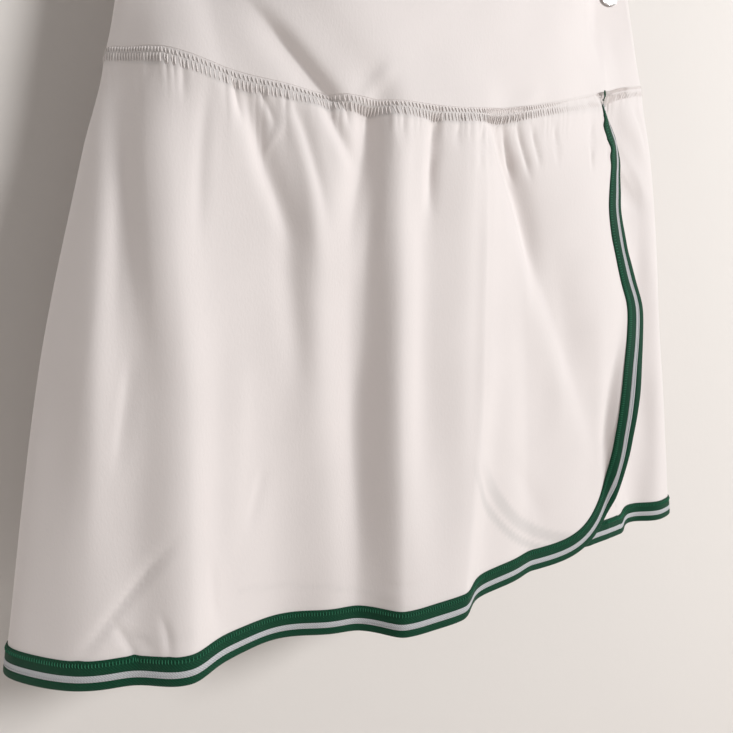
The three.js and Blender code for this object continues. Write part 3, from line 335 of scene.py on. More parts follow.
def height_at(angle, level):
    across = np.cos(np.radians(angle))
    front = np.sin(np.radians(angle)) >= 0
    ahead, behind = (by_level(level, table, across) for table in (FRONT_HEIGHT, BACK_HEIGHT))
    return np.where(front, ahead, behind)


def fold_shift(folds, x, level):
    t = np.clip(level - SEAM, 0, 1)
    late = t > 0.5
    s = np.where(late, (t - 0.5) * 2, t * 2)
    shift = 0
    for x0, x1, x2, left, right, h0, h1, h2 in folds:
        crest = np.where(late, x1 + (x2 - x1) * s, x0 + (x1 - x0) * s)
        stand = np.where(late, h1 + (h2 - h1) * s, h0 + (h1 - h0) * s)
        shift = shift + stand * bump(x - crest, left, right)
    return shift


def gather_shift(front, x, below, level):
    ahead = 0
    for at, deep, wide, long in FRONT_GATHERS:
        ahead = ahead - deep * fade_out(x - at, wide) * fade_out(below, long)
    behind = 0
    for i in range(2 * BACK_GATHER_REACH // BACK_GATHER_PITCH + 1):
        deep, long = BACK_GATHER_SIZES[i % len(BACK_GATHER_SIZES)]
        aside = x + BACK_GATHER_REACH - i * BACK_GATHER_PITCH
        behind = behind - deep * fade_out(aside, BACK_GATHER_WIDE) * fade_out(below, long)
    return np.where(level < SEAM, 0, np.where(front, ahead, behind))


def line_shift(lines, x, z, rise, fall):
    """Soft troughs and ridges that run from a first point to a second."""
    shift = 0
    for x0, z0, x1, z1, bow, deep, left, right in lines:
        ax, az = x1 - x0, z1 - z0
        length = np.hypot(ax, az)
        s = ((x - x0) * ax + (z - z0) * az) / length**2
        aside = ((x - x0) * az - (z - z0) * ax) / length + bow * 4 * s * (1 - s)
        fade = step(*rise, s) * (1 - step(*fall, s))
        shift = shift + deep * fade * bump(-aside, left, right)
    return shift


def roll_shift(x, z, level, fine=0.0):
    wide = roll_wide(z)
    inside = x - over_edge_x(np.maximum(z, OVER_CORNER[1])) + wide
    settled = 1 - step(wide + ROLL_FLAT, wide + ROLL_FLAT + ROLL_SETTLE, inside)
    s = np.clip(inside / wide, 0, 1)
    rise = step(0, 1, s) * (1 - fine) + s * step(0, 0.5, s) * fine
    out = roll_out(z) + fine * edge_lift(z)
    return np.where(level < SEAM, 0, out * rise * settled)


PULL_LINES = [(*row[:4], 0, *row[4:]) for row in YOKE_PULLS]  # with no bow


def fine_shift(front, across, x, z, level, below):
    """Creases, puckers and slow unevenness that the solids leave out."""
    skirt = step(0.98, 1.02, level)
    ahead = skirt * line_shift(FRONT_CREASES, x, z, *CREASE_ENDS) * FRONT_CREASE_DEPTH
    ahead = ahead + (1 - skirt) * line_shift(YOKE_CREASES, x, z, *CREASE_ENDS)
    behind = skirt * line_shift(BACK_CREASES, x, z, *CREASE_ENDS)
    behind = behind + (1 - skirt) * line_shift(YOKE_BACK_CREASES, x, z, *CREASE_ENDS)
    shift = np.where(front, ahead, behind)
    phase = x + 1.7 * np.sin(x * 0.21) + 0.9 * np.sin(x * 0.57 + 1)
    long = 11 + 7 * np.sin(x * 0.13 + 0.4) + 4 * np.sin(x * 0.41)
    pucker = np.sin(phase * 2 * np.pi / PUCKER_PITCH) * (0.7 + 0.3 * np.sin(x * 0.29))
    fade = fade_out(below, np.where(level < SEAM, PUCKER_ABOVE, long))
    shift = shift + PUCKER_DEEP * pucker_at(across) * pucker * fade * np.where(level < SEAM, 0.5, 1)
    slow = np.sin(x * 0.095 + z * 0.021 + 0.6) * np.sin(z * 0.043 - x * 0.017)
    slow = slow + 0.6 * np.sin(x * 0.171 - z * 0.037) * np.sin(z * 0.081 + 1.1)
    return shift + SLOW_WAVE_DEEP * slow


def body(angle, level, fine=0.0):
    """Points in the middle of the cloth."""
    angle, level = np.broadcast_arrays(np.asarray(angle, float), np.asarray(level, float))
    turn = np.radians(angle)
    across = np.cos(turn)
    front = np.sin(turn) >= 0
    x = across * half_width(level)
    z = height_at(angle, level)
    below = height_at(angle, SEAM) - z
    out = np.where(front, by_level(level, FRONT_DEPTH, across), by_level(level, BACK_DEPTH, across))
    out = out * np.sqrt(np.maximum(0, 1 - np.abs(across) ** SIDE_TURN_POWER))
    aside = np.abs(np.sin(turn))
    steady = np.minimum(1, aside * FOLDS_FROM_SIDE)
    low = np.maximum(level, SEAM)
    folds = np.where(front, fold_shift(FRONT_FOLDS, x, low), fold_shift(BACK_FOLDS, x, low))
    kept = np.where(front, 1 - FOLDS_REPLACED * fine, 1)
    shift = step(0.72, 1.0, level) * folds + gather_shift(front, x, below, level) * kept
    pulls = (1 - step(0.9, 1.25, level)) * line_shift(PULL_LINES, x, z, (-0.15, 0.2), (0.75, 1.25))
    shift = shift + np.where(front, pulls * kept + roll_shift(x, z, level, fine), 0)
    if fine:
        shift = shift + fine * fine_shift(front, across, x, z, level, below)
    out = out + steady * shift
    beside = np.maximum(0, np.abs(np.abs(x) - PINCH["x"]) - PINCH["flat"])
    under = np.maximum(0, PINCH["z"] - z)
    spread = PINCH["across"] + under * PINCH["flare"]
    pinch = fade_out(beside, spread) * fade_out(under, PINCH["below"])
    held = PINCH["apart"] * np.minimum(1, aside * PINCH_FROM_SIDE)
    out = out + (held - out) * pinch
    ease = SIDE_EASE * step(SIDE_EASE_FROM, half_width(SEAM), x) * (1 - step(*SIDE_EASE_ENDS, level))
    drawn = np.where(front & (level > SEAM), edge_draw(z), 0)
    ease = ease - drawn * bump(x - over_edge_x(np.maximum(z, OVER_CORNER[1])), *EDGE_DRAWN)
    return np.stack([x + fine * ease, np.where(front, -out, out), z], -1)


def unit(v):
    return v / np.maximum(np.linalg.norm(v, axis=-1, keepdims=True), 1e-9)


def normals(angle, level, fine=0.0):
    across = body(angle + 0.12, level, fine) - body(angle - 0.12, level, fine)
    down = body(angle, level + 0.0025, fine) - body(angle, level - 0.0025, fine)
    return unit(np.cross(across, down))


def cloth(places, offset=0.0, fine=0.0):
    """Points at places (angle, level, shift), moved out square to the cloth."""
    angle, level, shift = places[..., 0], places[..., 1], places[..., 2]
    return body(angle, level, fine) + normals(angle, level, fine) * (shift + offset)[..., None]


def place_on(front, x, z):
    """Angle and level of points on the front or the back from their x and z."""
    x, z = np.broadcast_arrays(np.asarray(x, float), np.asarray(z, float))
    level = np.full(x.shape, 1.5)
    for _ in range(12):
        turned = np.degrees(np.arccos(np.clip(x / half_width(level), -1, 1)))
        angle = turned if front else 360 - turned
        seam = height_at(angle, SEAM)
        above = np.logical_and(front, z > seam)
        other = np.where(above, height_at(angle, WAIST), height_at(angle, HEM))
        level = SEAM + (z - seam) / (other - seam) * np.where(above, -1, 1)
    return np.stack([angle, level], -1)


# ---------------------------------------------------------------- outlines of panels


def along(path, s):
    """Path's rows at shares s of its list."""
    at = np.clip(s, 0, 1) * (len(path) - 1)
    rows = np.arange(len(path))
    return np.stack([np.interp(at, rows, column) for column in path.T], -1)


def evenly(path, count):
    """The path with even steps along the cloth."""
    fine = along(path, np.linspace(0, 1, 600))
    lengths = run_length(body(fine[:, 0], fine[:, 1]))
    at = np.interp(np.linspace(0, lengths[-1], count + 1), lengths, np.linspace(0, 1, 600))
    return along(fine, at)


def corner_points(corner, side, degrees):
    x, z, wide, deep, power = corner
    c, s = np.cos(np.radians(degrees)), np.sin(np.radians(degrees))
    return place_on(
        True, x + side * wide * np.abs(c) ** (2 / power), z - deep * np.abs(s) ** (2 / power)
    )


def free_edge(table, corner, side):
    """From the yoke seam down a free edge and half way round its corner."""
    z = np.linspace(table[0][0], corner[1], 61)
    straight = place_on(True, curve(table, 1)(z), z)
    path = np.vstack([straight, corner_points(corner, side, np.linspace(0, 45, 25)[1:])])
    first = int(np.argmax(path[:, 1] > SEAM))
    a, b = path[first - 1], path[first]
    s = (SEAM - a[1]) / (b[1] - a[1])
    return np.vstack([[a[0] + (b[0] - a[0]) * s, SEAM], path[first:]])


def hem_edge(seam_angle, corner, side):
    """From a side seam along the hem and half way round a corner."""
    end = corner_points(corner, side, np.array([90.0]))[0]
    s = np.linspace(0, 1, 121)[:-1]
    level = HEM + (end[1] - HEM) * step(0.75, 1, s)
    straight = np.stack([seam_angle + (end[0] - seam_angle) * s, level], -1)
    return np.vstack([straight, corner_points(corner, side, 90 - np.linspace(0, 45, 25))])


def inset_path(path, side):
    """The places one tape width in from a path along a panel's edge."""
    p = body(path[:, 0], path[:, 1])
    ahead = np.vstack([p[1:], p[-1:]])
    behind = np.vstack([p[:1], p[:-1]])
    run = unit(ahead - behind)
    turn = body(path[:, 0] + 0.5, path[:, 1]) - body(path[:, 0] - 0.5, path[:, 1])
    drop = (p - body(path[:, 0], path[:, 1] - 0.01)) * 100
    inward = np.cross(unit(np.cross(turn, drop)), run) * side * TAPE_WIDTH
    tt, td, dd = (turn * turn).sum(1), (turn * drop).sum(1), (drop * drop).sum(1)
    it, id_ = (inward * turn).sum(1), (inward * drop).sum(1)
    size = tt * dd - td * td
    step_angle, step_level = (it * dd - id_ * td) / size, (id_ * tt - it * td) / size
    return path + np.stack([step_angle, step_level], -1)


def angle_at_hem(x):
    return np.degrees(np.arccos(np.clip(x / half_width(HEM), -1, 1)))


def under_shift(angle, level):
    """Tucks the under panel behind the over panel and its tape."""
    p = body(angle, level)
    x, z = p[..., 0], p[..., 2]
    beyond = x - over_edge_x(np.clip(z, OVER_CORNER[1], OVER_EDGE[0][0]))
    roll = np.maximum(0, roll_shift(x, z, level, 1.0))
    return -UNDER_SET_IN * (1 - step(*UNDER_RETURN, beyond)) - roll


# seam x and hem x of some of each panel's grid columns
OVER_COLUMNS = [(-147, -198), (-135, -160), (-118, -124), (0, 0), (45, 48)]
UNDER_COLUMNS = [(147, 198), (135, 162), (100, 106)]
BACK_COLUMNS = [(-147, -198), (-120, -146), (0, 0), (120, 146), (147, 198)]
SKIRT_TOP = 0.955


class Panel:
    """A front panel's places and quads, and its outline for the tape."""

    def __init__(self, seam_angle, side, edges, table, columns, rows, tucked):
        hem = evenly(edges[0], 240)
        free = evenly(edges[1], 160)
        outline = np.vstack([hem, free[::-1][1:]])
        inset = inset_path(outline, side)
        inner_hem, inner_free = inset[: len(hem)], inset[len(hem) - 1:][::-1]
        u = np.linspace(0, 1, columns + 1)
        v = np.linspace(0, 1, rows + 1) ** 1.15
        top_angle = seam_angle + (inner_free[0, 0] - seam_angle) * np.linspace(0, 1, 300)
        top = along(evenly(np.stack([top_angle, np.full(300, SKIRT_TOP)], -1), 300), u)
        slit_x = body(inner_free[0, 0], SKIRT_TOP)[0]
        foot_x = half_width(HEM) * np.cos(np.radians(inner_hem[-1, 0]))
        target = angle_at_hem(curve([*table, (slit_x, foot_x)], 1)(body(top[:, 0], SEAM)[:, 0]))
        target = np.where(top[:, 0] > 180, 360 - target, np.where(top[:, 0] < 0, -target, target))
        way = np.sign(inner_hem[-1, 0] - inner_hem[0, 0])
        feet = np.interp(target * way, inner_hem[:, 0] * way, np.linspace(0, 1, len(inner_hem)))
        feet[0], feet[-1] = 0, 1
        bottom = along(inner_hem, feet)
        bottom[0, 0] = seam_angle
        down = SKIRT_TOP + (inner_hem[0, 1] - SKIRT_TOP) * v
        left = np.stack([np.full(rows + 1, seam_angle), down], -1)
        right = along(inner_free, v)
        right[0] = top[-1]
        uu, vv = u[None, :, None], v[:, None, None]
        grid = (1 - vv) * top[None] + vv * bottom[None]
        grid = grid + (1 - uu) * left[:, None] + uu * right[:, None]
        grid -= (1 - uu) * (1 - vv) * top[0] + uu * (1 - vv) * top[-1]
        grid -= (1 - uu) * vv * bottom[0] + uu * vv * bottom[-1]
        shape = grid.shape[:2]
        index = np.arange(shape[0] * shape[1]).reshape(shape)
        quads = [quad_rows(index)]
        rim = np.concatenate([index[-1], index[::-1, -1][1:]])
        outer = np.vstack([along(hem, feet), along(free, v)[::-1][1:]])
        outer[0, 0] = seam_angle
        band = [rim]
        places = [grid.reshape(-1, 2)]
        total = len(places[0])
        flat = places[0]
        for k in range(1, 5):
            places.append(flat[rim] + (outer - flat[rim]) * k / 4)
            band.append(total + np.arange(len(rim)))
            total += len(rim)
        quads.append(quad_rows(np.array(band)))
        places = np.vstack(places)
        quads = np.vstack(quads)
        if tucked:
            quads = quads[:, ::-1]
        shift = under_shift(places[:, 0], places[:, 1]) if tucked else np.zeros(len(places))
        self.places = np.column_stack([places, shift])
        self.quads = quads
        self.outline, self.inset, self.tucked = outline, inset, tucked

    def strip(self, t, count):
        """Places across the tape's width at count even steps along it: t is 0 at its outer edge."""
        s = np.linspace(0, 1, count)
        outer, inner = along(self.outline, s), along(self.inset, s)
        places = outer[:, None] + (inner - outer)[:, None] * t[None, :, None]
        places[..., 1] = np.maximum(places[..., 1], SKIRT_TOP - 0.004)
        shift = under_shift(places[..., 0], places[..., 1]) if self.tucked else 0 * places[..., 0]
        return np.concatenate([places, shift[..., None]], -1)


def quad_rows(index):
    """Quads of a grid of vertex numbers, rows going down and columns to the right."""
    a, b = index[:-1, :-1], index[1:, :-1]
    c, d = index[1:, 1:], index[:-1, 1:]
    return np.stack([a, b, c, d], -1).reshape(-1, 4)


def over_panel(quick):
    edges = hem_edge(LEFT_SEAM, OVER_CORNER, 1), free_edge(OVER_EDGE, OVER_CORNER, 1)
    return Panel(LEFT_SEAM, 1, edges, OVER_COLUMNS, 380 // quick, 100 // quick, False)


def under_panel(quick):
    edges = hem_edge(RIGHT_SEAM, UNDER_CORNER, -1), free_edge(UNDER_EDGE, UNDER_CORNER, -1)
    return Panel(RIGHT_SEAM, -1, edges, UNDER_COLUMNS, 170 // quick, 80 // quick, True)


# ---------------------------------------------------------------- meshes


def shell(outer, inner, quads):
    """A closed wall between two layers that share their quads."""
    n = len(outer)
    edges = np.vstack([quads[:, [k, (k + 1) % 4]] for k in range(4)])
    keys, back = edges[:, 0] * n + edges[:, 1], edges[:, 1] * n + edges[:, 0]
    rim = edges[~np.isin(keys, back)]
    wall = np.stack([rim[:, 1], rim[:, 0], rim[:, 0] + n, rim[:, 1] + n], 1)
    return np.vstack([outer, inner]), np.vstack([quads, quads[:, ::-1] + n, wall])


def make(name, points, faces, materials, slot, nodes=(), slots=None, uv=None):
    """A mesh object in metres that rides on the root."""
    mesh = bpy.data.meshes.new(name)
    if isinstance(faces, np.ndarray):
        faces = faces.tolist()
    else:
        faces = [[int(i) for i in face] for face in faces]
    mesh.from_pydata((np.asarray(points) * MM).tolist(), [], faces)
    for material in materials:
        mesh.materials.append(material)
    mesh.shade_smooth()
    if slots is not None:
        mesh.polygons.foreach_set("material_index", np.asarray(slots, np.int32))
    if uv is not None:
        layer = mesh.uv_layers.new(name="UVMap")
        corners = np.empty(len(mesh.loops), np.int32)
        mesh.loops.foreach_get("vertex_index", corners)
        layer.data.foreach_set("uv", (np.asarray(uv)[corners] * MM).astype(np.float32).ravel())
    mesh.set_sharp_from_angle(angle=np.radians(50))
    mesh.update()
    piece = bpy.data.objects.new(name, mesh)
    bpy.context.scene.collection.objects.link(piece)
    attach(piece, "root")
    if nodes:
        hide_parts(*nodes)
    return piece


def add_mask(piece, name, values):
    """A number for each vertex, for a material to read."""
    layer = piece.data.attributes.new(name, "FLOAT", "POINT")
    layer.data.foreach_set("value", np.asarray(values, np.float32))


def one_side_area(points, quads):
    """Area of the quads in square metres."""
    a, b, c, d = (points[quads[:, k]] for k in range(4))
    return float(np.linalg.norm(np.cross(c - a, d - b), axis=1).sum() / 2) * MM**2


def threads(starts, ends, lift, radius, sides=6, bends=5):
    """Short arched threads from starts to ends, each rising by lift at its middle."""
    k = np.linspace(0, 1, bends)
    rise = np.sin(np.pi * k)[None, :, None] * lift[:, None, :]
    path = starts[:, None] * (1 - k)[None, :, None] + ends[:, None] * k[None, :, None] + rise
    run = unit(np.gradient(path, axis=1))
    side = unit(np.cross(run, unit(lift)[:, None, :] + 0 * run))
    up = np.cross(side, run)
    turn = np.linspace(0, 2 * np.pi, sides, endpoint=False)
    swell = 0.45 + 0.55 * np.sin(np.pi * np.clip(k, 0.02, 0.98)) ** 0.5
    thick = radius * swell[None, :, None, None]
    c, s = np.cos(turn)[None, None, :, None], np.sin(turn)[None, None, :, None]
    ring = c * side[:, :, None] + s * up[:, :, None]
    points = path[:, :, None] + thick * ring
    count = len(starts)
    index = np.arange(count * bends * sides).reshape(count, bends, sides)
    a, b = index[:, :-1], index[:, 1:]
    quads = np.stack([a, b, np.roll(b, -1, 2), np.roll(a, -1, 2)], -1).reshape(-1, 4)
    faces = [*quads.tolist(), *index[:, 0].tolist(), *index[:, -1, ::-1].tolist()]
    return points.reshape(-1, 3), faces


def join(parts):
    """Several lists of points and faces as one."""
    points, faces, total = [], [], 0
    for some, more in parts:
        points.append(some)
        faces += [[int(i) + total for i in face] for face in more]
        total += len(some)
    return np.vstack(points), faces


def sweep(path, radius, sides=20):
    """A round bar along a path that keeps to the plane square to +Y, with domed ends."""
    path = np.asarray(path, float)
    run = unit(np.gradient(path, axis=0))
    first = np.tile([0.0, 1.0, 0.0], (len(path), 1))
    second = np.cross(run, first)
    turn = np.linspace(0, 2 * np.pi, sides, endpoint=False)
    radii = np.full(len(path), float(radius))
    dome = [(0.0, 0.3), (0.35, 0.75), (0.7, 0.95)]
    ends = [
        [(path[i] + way * run[i] * radius * (1 - f), first[i], second[i], radius * r) for f, r in dome]
        for i, way in ((0, -1), (-1, 1))
    ]
    rings = ends[0] + list(zip(path, first, second, radii)) + ends[1][::-1]
    points = np.array([
        centre + r * (np.cos(a) * one + np.sin(a) * two)
        for centre, one, two, r in rings for a in turn
    ])
    index = np.arange(len(points)).reshape(len(rings), sides)
    index = np.hstack([index, index[:, :1]])
    return points, [*quad_rows(index).tolist(), index[0, :-1].tolist(), index[-1, :-1][::-1].tolist()]


def lathe(profile, axis, centre, sides=40):
    """A closed turned piece: its profile is (along the axis, radius) from end to end."""
    along_axis = np.eye(3)[axis]
    one, two = np.eye(3)[(axis + 1) % 3], np.eye(3)[(axis + 2) % 3]
    turn = np.linspace(0, 2 * np.pi, sides, endpoint=False)
    points = np.array([
        np.asarray(centre) + t * along_axis + r * (np.cos(a) * one + np.sin(a) * two)
        for t, r in profile for a in turn
    ])
    index = np.arange(len(points)).reshape(len(profile), sides)
    index = np.hstack([index, index[:, :1]])
    quads = quad_rows(index)[:, ::-1]
    return points, [*quads.tolist(), index[0, :-1][::-1].tolist(), index[-1, :-1].tolist()]


# ---------------------------------------------------------------- materials


def new_group(name, inputs, outputs):
    """A shader node group with named float inputs and outputs."""
    group = bpy.data.node_groups.new(name, "ShaderNodeTree")
    for label, default in inputs:
        socket = group.interface.new_socket(label, in_out="INPUT", socket_type="NodeSocketFloat")
        socket.default_value = default
    for label in outputs:
        group.interface.new_socket(label, in_out="OUTPUT", socket_type="NodeSocketFloat")
    return group, group.nodes.new("NodeGroupInput"), group.nodes.new("NodeGroupOutput")


def put(tree, kind, values=None, **settings):
    """A node with its settings and the values of its unlinked inputs."""
    node = tree.nodes.new(kind)
    for key, value in settings.items():
        setattr(node, key, value)
    for key, value in (values or {}).items():
        node.inputs[key].default_value = value
    return node


def knit_group():
    """Fine loops of a smooth knit: a height for bump and a slow unevenness of tint."""
    group, given, result = new_group(
        "Knit Surface", [("Loops", 900.0), ("Patches", 18.0), ("Stretch", 0.5)], ["Height", "Tint"]
    )
    links = group.links.new
    place = put(group, "ShaderNodeTexCoord")
    scaled = put(group, "ShaderNodeVectorMath", operation="MULTIPLY")
    ratio = put(group, "ShaderNodeCombineXYZ", {"X": 1.0, "Y": 1.0})
    links(given.outputs["Stretch"], ratio.inputs["Z"])
    links(place.outputs["Object"], scaled.inputs[0])
    links(ratio.outputs[0], scaled.inputs[1])
    loops = put(group, "ShaderNodeTexNoise", {"Detail": 2.0, "Roughness": 0.6})
    links(scaled.outputs[0], loops.inputs["Vector"])
    links(given.outputs["Loops"], loops.inputs["Scale"])
    patches = put(group, "ShaderNodeTexNoise", {"Detail": 3.0, "Roughness": 0.55})
    links(place.outputs["Object"], patches.inputs["Vector"])
    links(given.outputs["Patches"], patches.inputs["Scale"])
    links(loops.outputs[0], result.inputs["Height"])
    links(patches.outputs[0], result.inputs["Tint"])
    return group


def metal_group():
    """Handling marks on bright metal: a roughness and a faint height."""
    group, given, result = new_group(
        "Metal Handling", [("Marks", 60.0), ("Low", 0.1), ("High", 0.26)], ["Roughness", "Height"]
    )
    links = group.links.new
    place = put(group, "ShaderNodeTexCoord")
    marks = put(group, "ShaderNodeTexNoise", {"Detail": 6.0, "Roughness": 0.7})
    spread = put(group, "ShaderNodeMapRange", {"From Min": 0.35, "From Max": 0.7})
    links(place.outputs["Object"], marks.inputs["Vector"])
    links(given.outputs["Marks"], marks.inputs["Scale"])
    links(marks.outputs[0], spread.inputs["Value"])
    links(given.outputs["Low"], spread.inputs["To Min"])
    links(given.outputs["High"], spread.inputs["To Max"])
    links(spread.outputs["Result"], result.inputs["Roughness"])
    links(marks.outputs[0], result.inputs["Height"])
    return group


def shared(builder, name):
    return bpy.data.node_groups.get(name) or builder()


def start_material(name):
    material = bpy.data.materials.new(name)
    material.use_nodes = True
    tree = material.node_tree
    return material, tree, tree.nodes["Principled BSDF"], tree.links.new


def add_relief(tree, surface, height, strength, distance):
    relief = put(tree, "ShaderNodeBump", {"Strength": strength, "Distance": distance})
    tree.links.new(height, relief.inputs["Height"])
    tree.links.new(relief.outputs[0], surface.inputs["Normal"])


def tinted(tree, colour, shade, tint):
    """Base colour that drifts between a colour and a slightly deeper shade of it."""
    mix = put(tree, "ShaderNodeMix", data_type="RGBA")
    mix.inputs[6].default_value = (*colour, 1)
    mix.inputs[7].default_value = (*[c * shade for c in colour], 1)
    tree.links.new(tint, mix.inputs[0])
    return mix.outputs[2]


# cloth whose base colour takes painted shade from a mask
SHADE_PAINTED_CLOTH = ("Skirt Knit", "Yoke Knit")


def cloth_material(name, colour, loops=1100.0, bump=0.00012, shade=0.93, rough=0.78, sheen=0.2):
    """Knit or thread: fine bump, slow tint, a soft sheen, and optional painted shade, a mask that
    greys the base colour between the seam's threads and where the under tape's shadow and the shorts'
    hems show through.
    """
    found = bpy.data.materials.get(name)
    if found:
        return found
    material, tree, surface, links = start_material(name)
    knit = put(tree, "ShaderNodeGroup", node_tree=shared(knit_group, "Knit Surface"))
    knit.inputs["Loops"].default_value = loops
    add_relief(tree, surface, knit.outputs["Height"], 0.6, bump)
    base = tinted(tree, colour, shade, knit.outputs["Tint"])
    if name in SHADE_PAINTED_CLOTH:
        # painted shade: the mask mixes the base colour towards grey, standing in for shade between
        # seam threads and the under tape's shadow seen through the cloth
        mask = put(tree, "ShaderNodeAttribute", attribute_name="painted_shade")
        shaded_base = put(tree, "ShaderNodeMix", data_type="RGBA")
        shaded_base.inputs[7].default_value = (0.32, 0.33, 0.32, 1)
        links(base, shaded_base.inputs[6])
        links(mask.outputs["Fac"], shaded_base.inputs[0])
        base = shaded_base.outputs[2]
    links(base, surface.inputs["Base Color"])
    surface.inputs["Roughness"].default_value = rough
    surface.inputs["Sheen Weight"].default_value = sheen
    surface.inputs["Sheen Roughness"].default_value = 0.5
    surface.inputs["Specular IOR Level"].default_value = 0.3
    return material


def rib_material(name, colour, pitch, bump, shade):
    """Tape with ribs across its length, read from its own unrolled length and width."""
    found = bpy.data.materials.get(name)
    if found:
        return found
    material, tree, surface, links = start_material(name)
    place = put(tree, "ShaderNodeTexCoord")
    ribs = put(tree, "ShaderNodeTexWave", {"Scale": 0.314 / pitch, "Distortion": 0.4, "Detail": 1.0},
               wave_type="BANDS", bands_direction="DIAGONAL")
    links(place.outputs["UV"], ribs.inputs["Vector"])
    knit = put(tree, "ShaderNodeGroup", node_tree=shared(knit_group, "Knit Surface"))
    both = put(tree, "ShaderNodeMath", operation="ADD")
    links(ribs.outputs["Fac"], both.inputs[0])
    links(knit.outputs["Height"], both.inputs[1])
    add_relief(tree, surface, both.outputs[0], 0.7, bump)
    links(tinted(tree, colour, shade, ribs.outputs["Fac"]), surface.inputs["Base Color"])
    surface.inputs["Roughness"].default_value = 0.6
    surface.inputs["Sheen Weight"].default_value = 0.02
    surface.inputs["Specular IOR Level"].default_value = 0.16
    return material


def metal_material(name, colour, low, high):
    found = bpy.data.materials.get(name)
    if found:
        return found
    material, tree, surface, links = start_material(name)
    wear = put(tree, "ShaderNodeGroup", node_tree=shared(metal_group, "Metal Handling"))
    wear.inputs["Low"].default_value = low
    wear.inputs["High"].default_value = high
    links(wear.outputs["Roughness"], surface.inputs["Roughness"])
    add_relief(tree, surface, wear.outputs["Height"], 0.1, 0.0001)
    surface.inputs["Base Color"].default_value = (*colour, 1)
    surface.inputs["Metallic"].default_value = 1.0
    return material


def stage_material(name, colour, see_through):
    """Plain paint. A backdrop lets rays through from behind, so that the back can be seen."""
    material, tree, surface, links = start_material(name)
    place = put(tree, "ShaderNodeTexCoord")
    plaster = put(tree, "ShaderNodeTexNoise", {"Scale": 160.0, "Detail": 4.0})
    links(place.outputs["Object"], plaster.inputs["Vector"])
    add_relief(tree, surface, plaster.outputs[0], 0.25, 0.0004)
    surface.inputs["Base Color"].default_value = (*colour, 1)
    surface.inputs["Roughness"].default_value = 0.9
    surface.inputs["Specular IOR Level"].default_value = 0.2
    if see_through:
        facing = put(tree, "ShaderNodeNewGeometry")
        clear = put(tree, "ShaderNodeBsdfTransparent")
        either = put(tree, "ShaderNodeMixShader")
        links(facing.outputs["Backfacing"], either.inputs[0])
        links(surface.outputs[0], either.inputs[1])
        links(clear.outputs[0], either.inputs[2])
        links(either.outputs[0], tree.nodes["Material Output"].inputs["Surface"])
    return material


# ---------------------------------------------------------------- what a user may change


class SkortSettings(bpy.types.PropertyGroup):
    """Sizes and colours of the skort and its hanger, and how strongly its creases show."""

    cloth_colour: FloatVectorProperty(
        name="Cloth", description="Colour of the yoke and the skirt", subtype="COLOR",
        default=(0.80, 0.745, 0.728), min=0, max=1)
    shorts_colour: FloatVectorProperty(
        name="Shorts", description="Colour of the inner shorts", subtype="COLOR",
        default=(0.74, 0.67, 0.65), min=0, max=1)
    tape_colour: FloatVectorProperty(
        name="Tape", description="Colour of the tape's outer bands", subtype="COLOR",
        default=(0.003, 0.060, 0.028), min=0, max=1)
    stripe_colour: FloatVectorProperty(
        name="Stripe", description="Colour of the tape's middle stripe", subtype="COLOR",
        default=(0.55, 0.56, 0.58), min=0, max=1)
    metal_colour: FloatVectorProperty(
        name="Metal", description="Colour of the hanger's plating", subtype="COLOR",
        default=(0.72, 0.71, 0.70), min=0, max=1)
    crease_strength: FloatProperty(
        name="Crease strength", description="How strongly fine creases and puckers show",
        default=1.0, min=0, max=2, subtype="FACTOR")
    seam_pitch: FloatProperty(
        name="Seam stitch pitch", description="Length of a stitch of the yoke seam",
        default=0.0017, min=0.001, max=0.006, unit="LENGTH")
    tape_pitch: FloatProperty(
        name="Tape stitch pitch", description="Distance between stitches along the tape",
        default=0.0013, min=0.0008, max=0.006, unit="LENGTH")
    thread: FloatProperty(
        name="Thread", description="Diameter of the sewing thread",
        default=0.0005, min=0.0002, max=0.001, unit="LENGTH")
    spring_turns: IntProperty(
        name="Spring turns", description="Turns of wire in each of the clips' springs",
        default=3, min=2, max=6)


def quick_factor():
    return 1


YOKE_END = 0.960  # level

# metres: a flat size for each sheet, which the build does not use
YOKE_FRONT_FLAT, YOKE_BACK_FLAT = (0.33, 0.13), (0.31, 0.12)


def finish_closed(piece):
    """Makes every face of a closed piece look outwards."""
    work = bmesh.new()
    work.from_mesh(piece.data)
    bmesh.ops.recalc_face_normals(work, faces=work.faces)
    work.to_mesh(piece.data)
    work.free()
    return piece


def grid_places(angle, level):
    return np.stack([angle, level, np.zeros(angle.shape)], -1)


def cloth_sheet(name, places, quads, wall, nodes, material, slot, fine):
    flat = places.reshape(-1, 3)
    outer = cloth(flat, wall / 2, fine)
    inner = cloth(flat, -wall / 2, fine)
    points, faces = shell(outer, inner, quads)
    return make(name, points, faces, [material], slot, nodes), outer


def painted_seam_shade(places, points):
    """Painted shade: how much the cloth's colour darkens between the threads of the yoke seam, where
    the threads' shadow falls.
    """
    angle, level = places[:, 0], places[:, 1]
    below = (height_at(angle, WAIST) - height_at(angle, SEAM)) * (level - SEAM)
    top, low = SEAM_ROWS[0] - SEAM_STITCH_RISE / 2, SEAM_ROWS[-1] + SEAM_STITCH_RISE / 2
    band = step(top - 0.4, top, below) * (1 - step(low, low + 0.4, below))
    return SEAM_PAINTED_SHADE * band * (1 - 0.7 * step(*SEAM_SUNK, points[:, 0]))


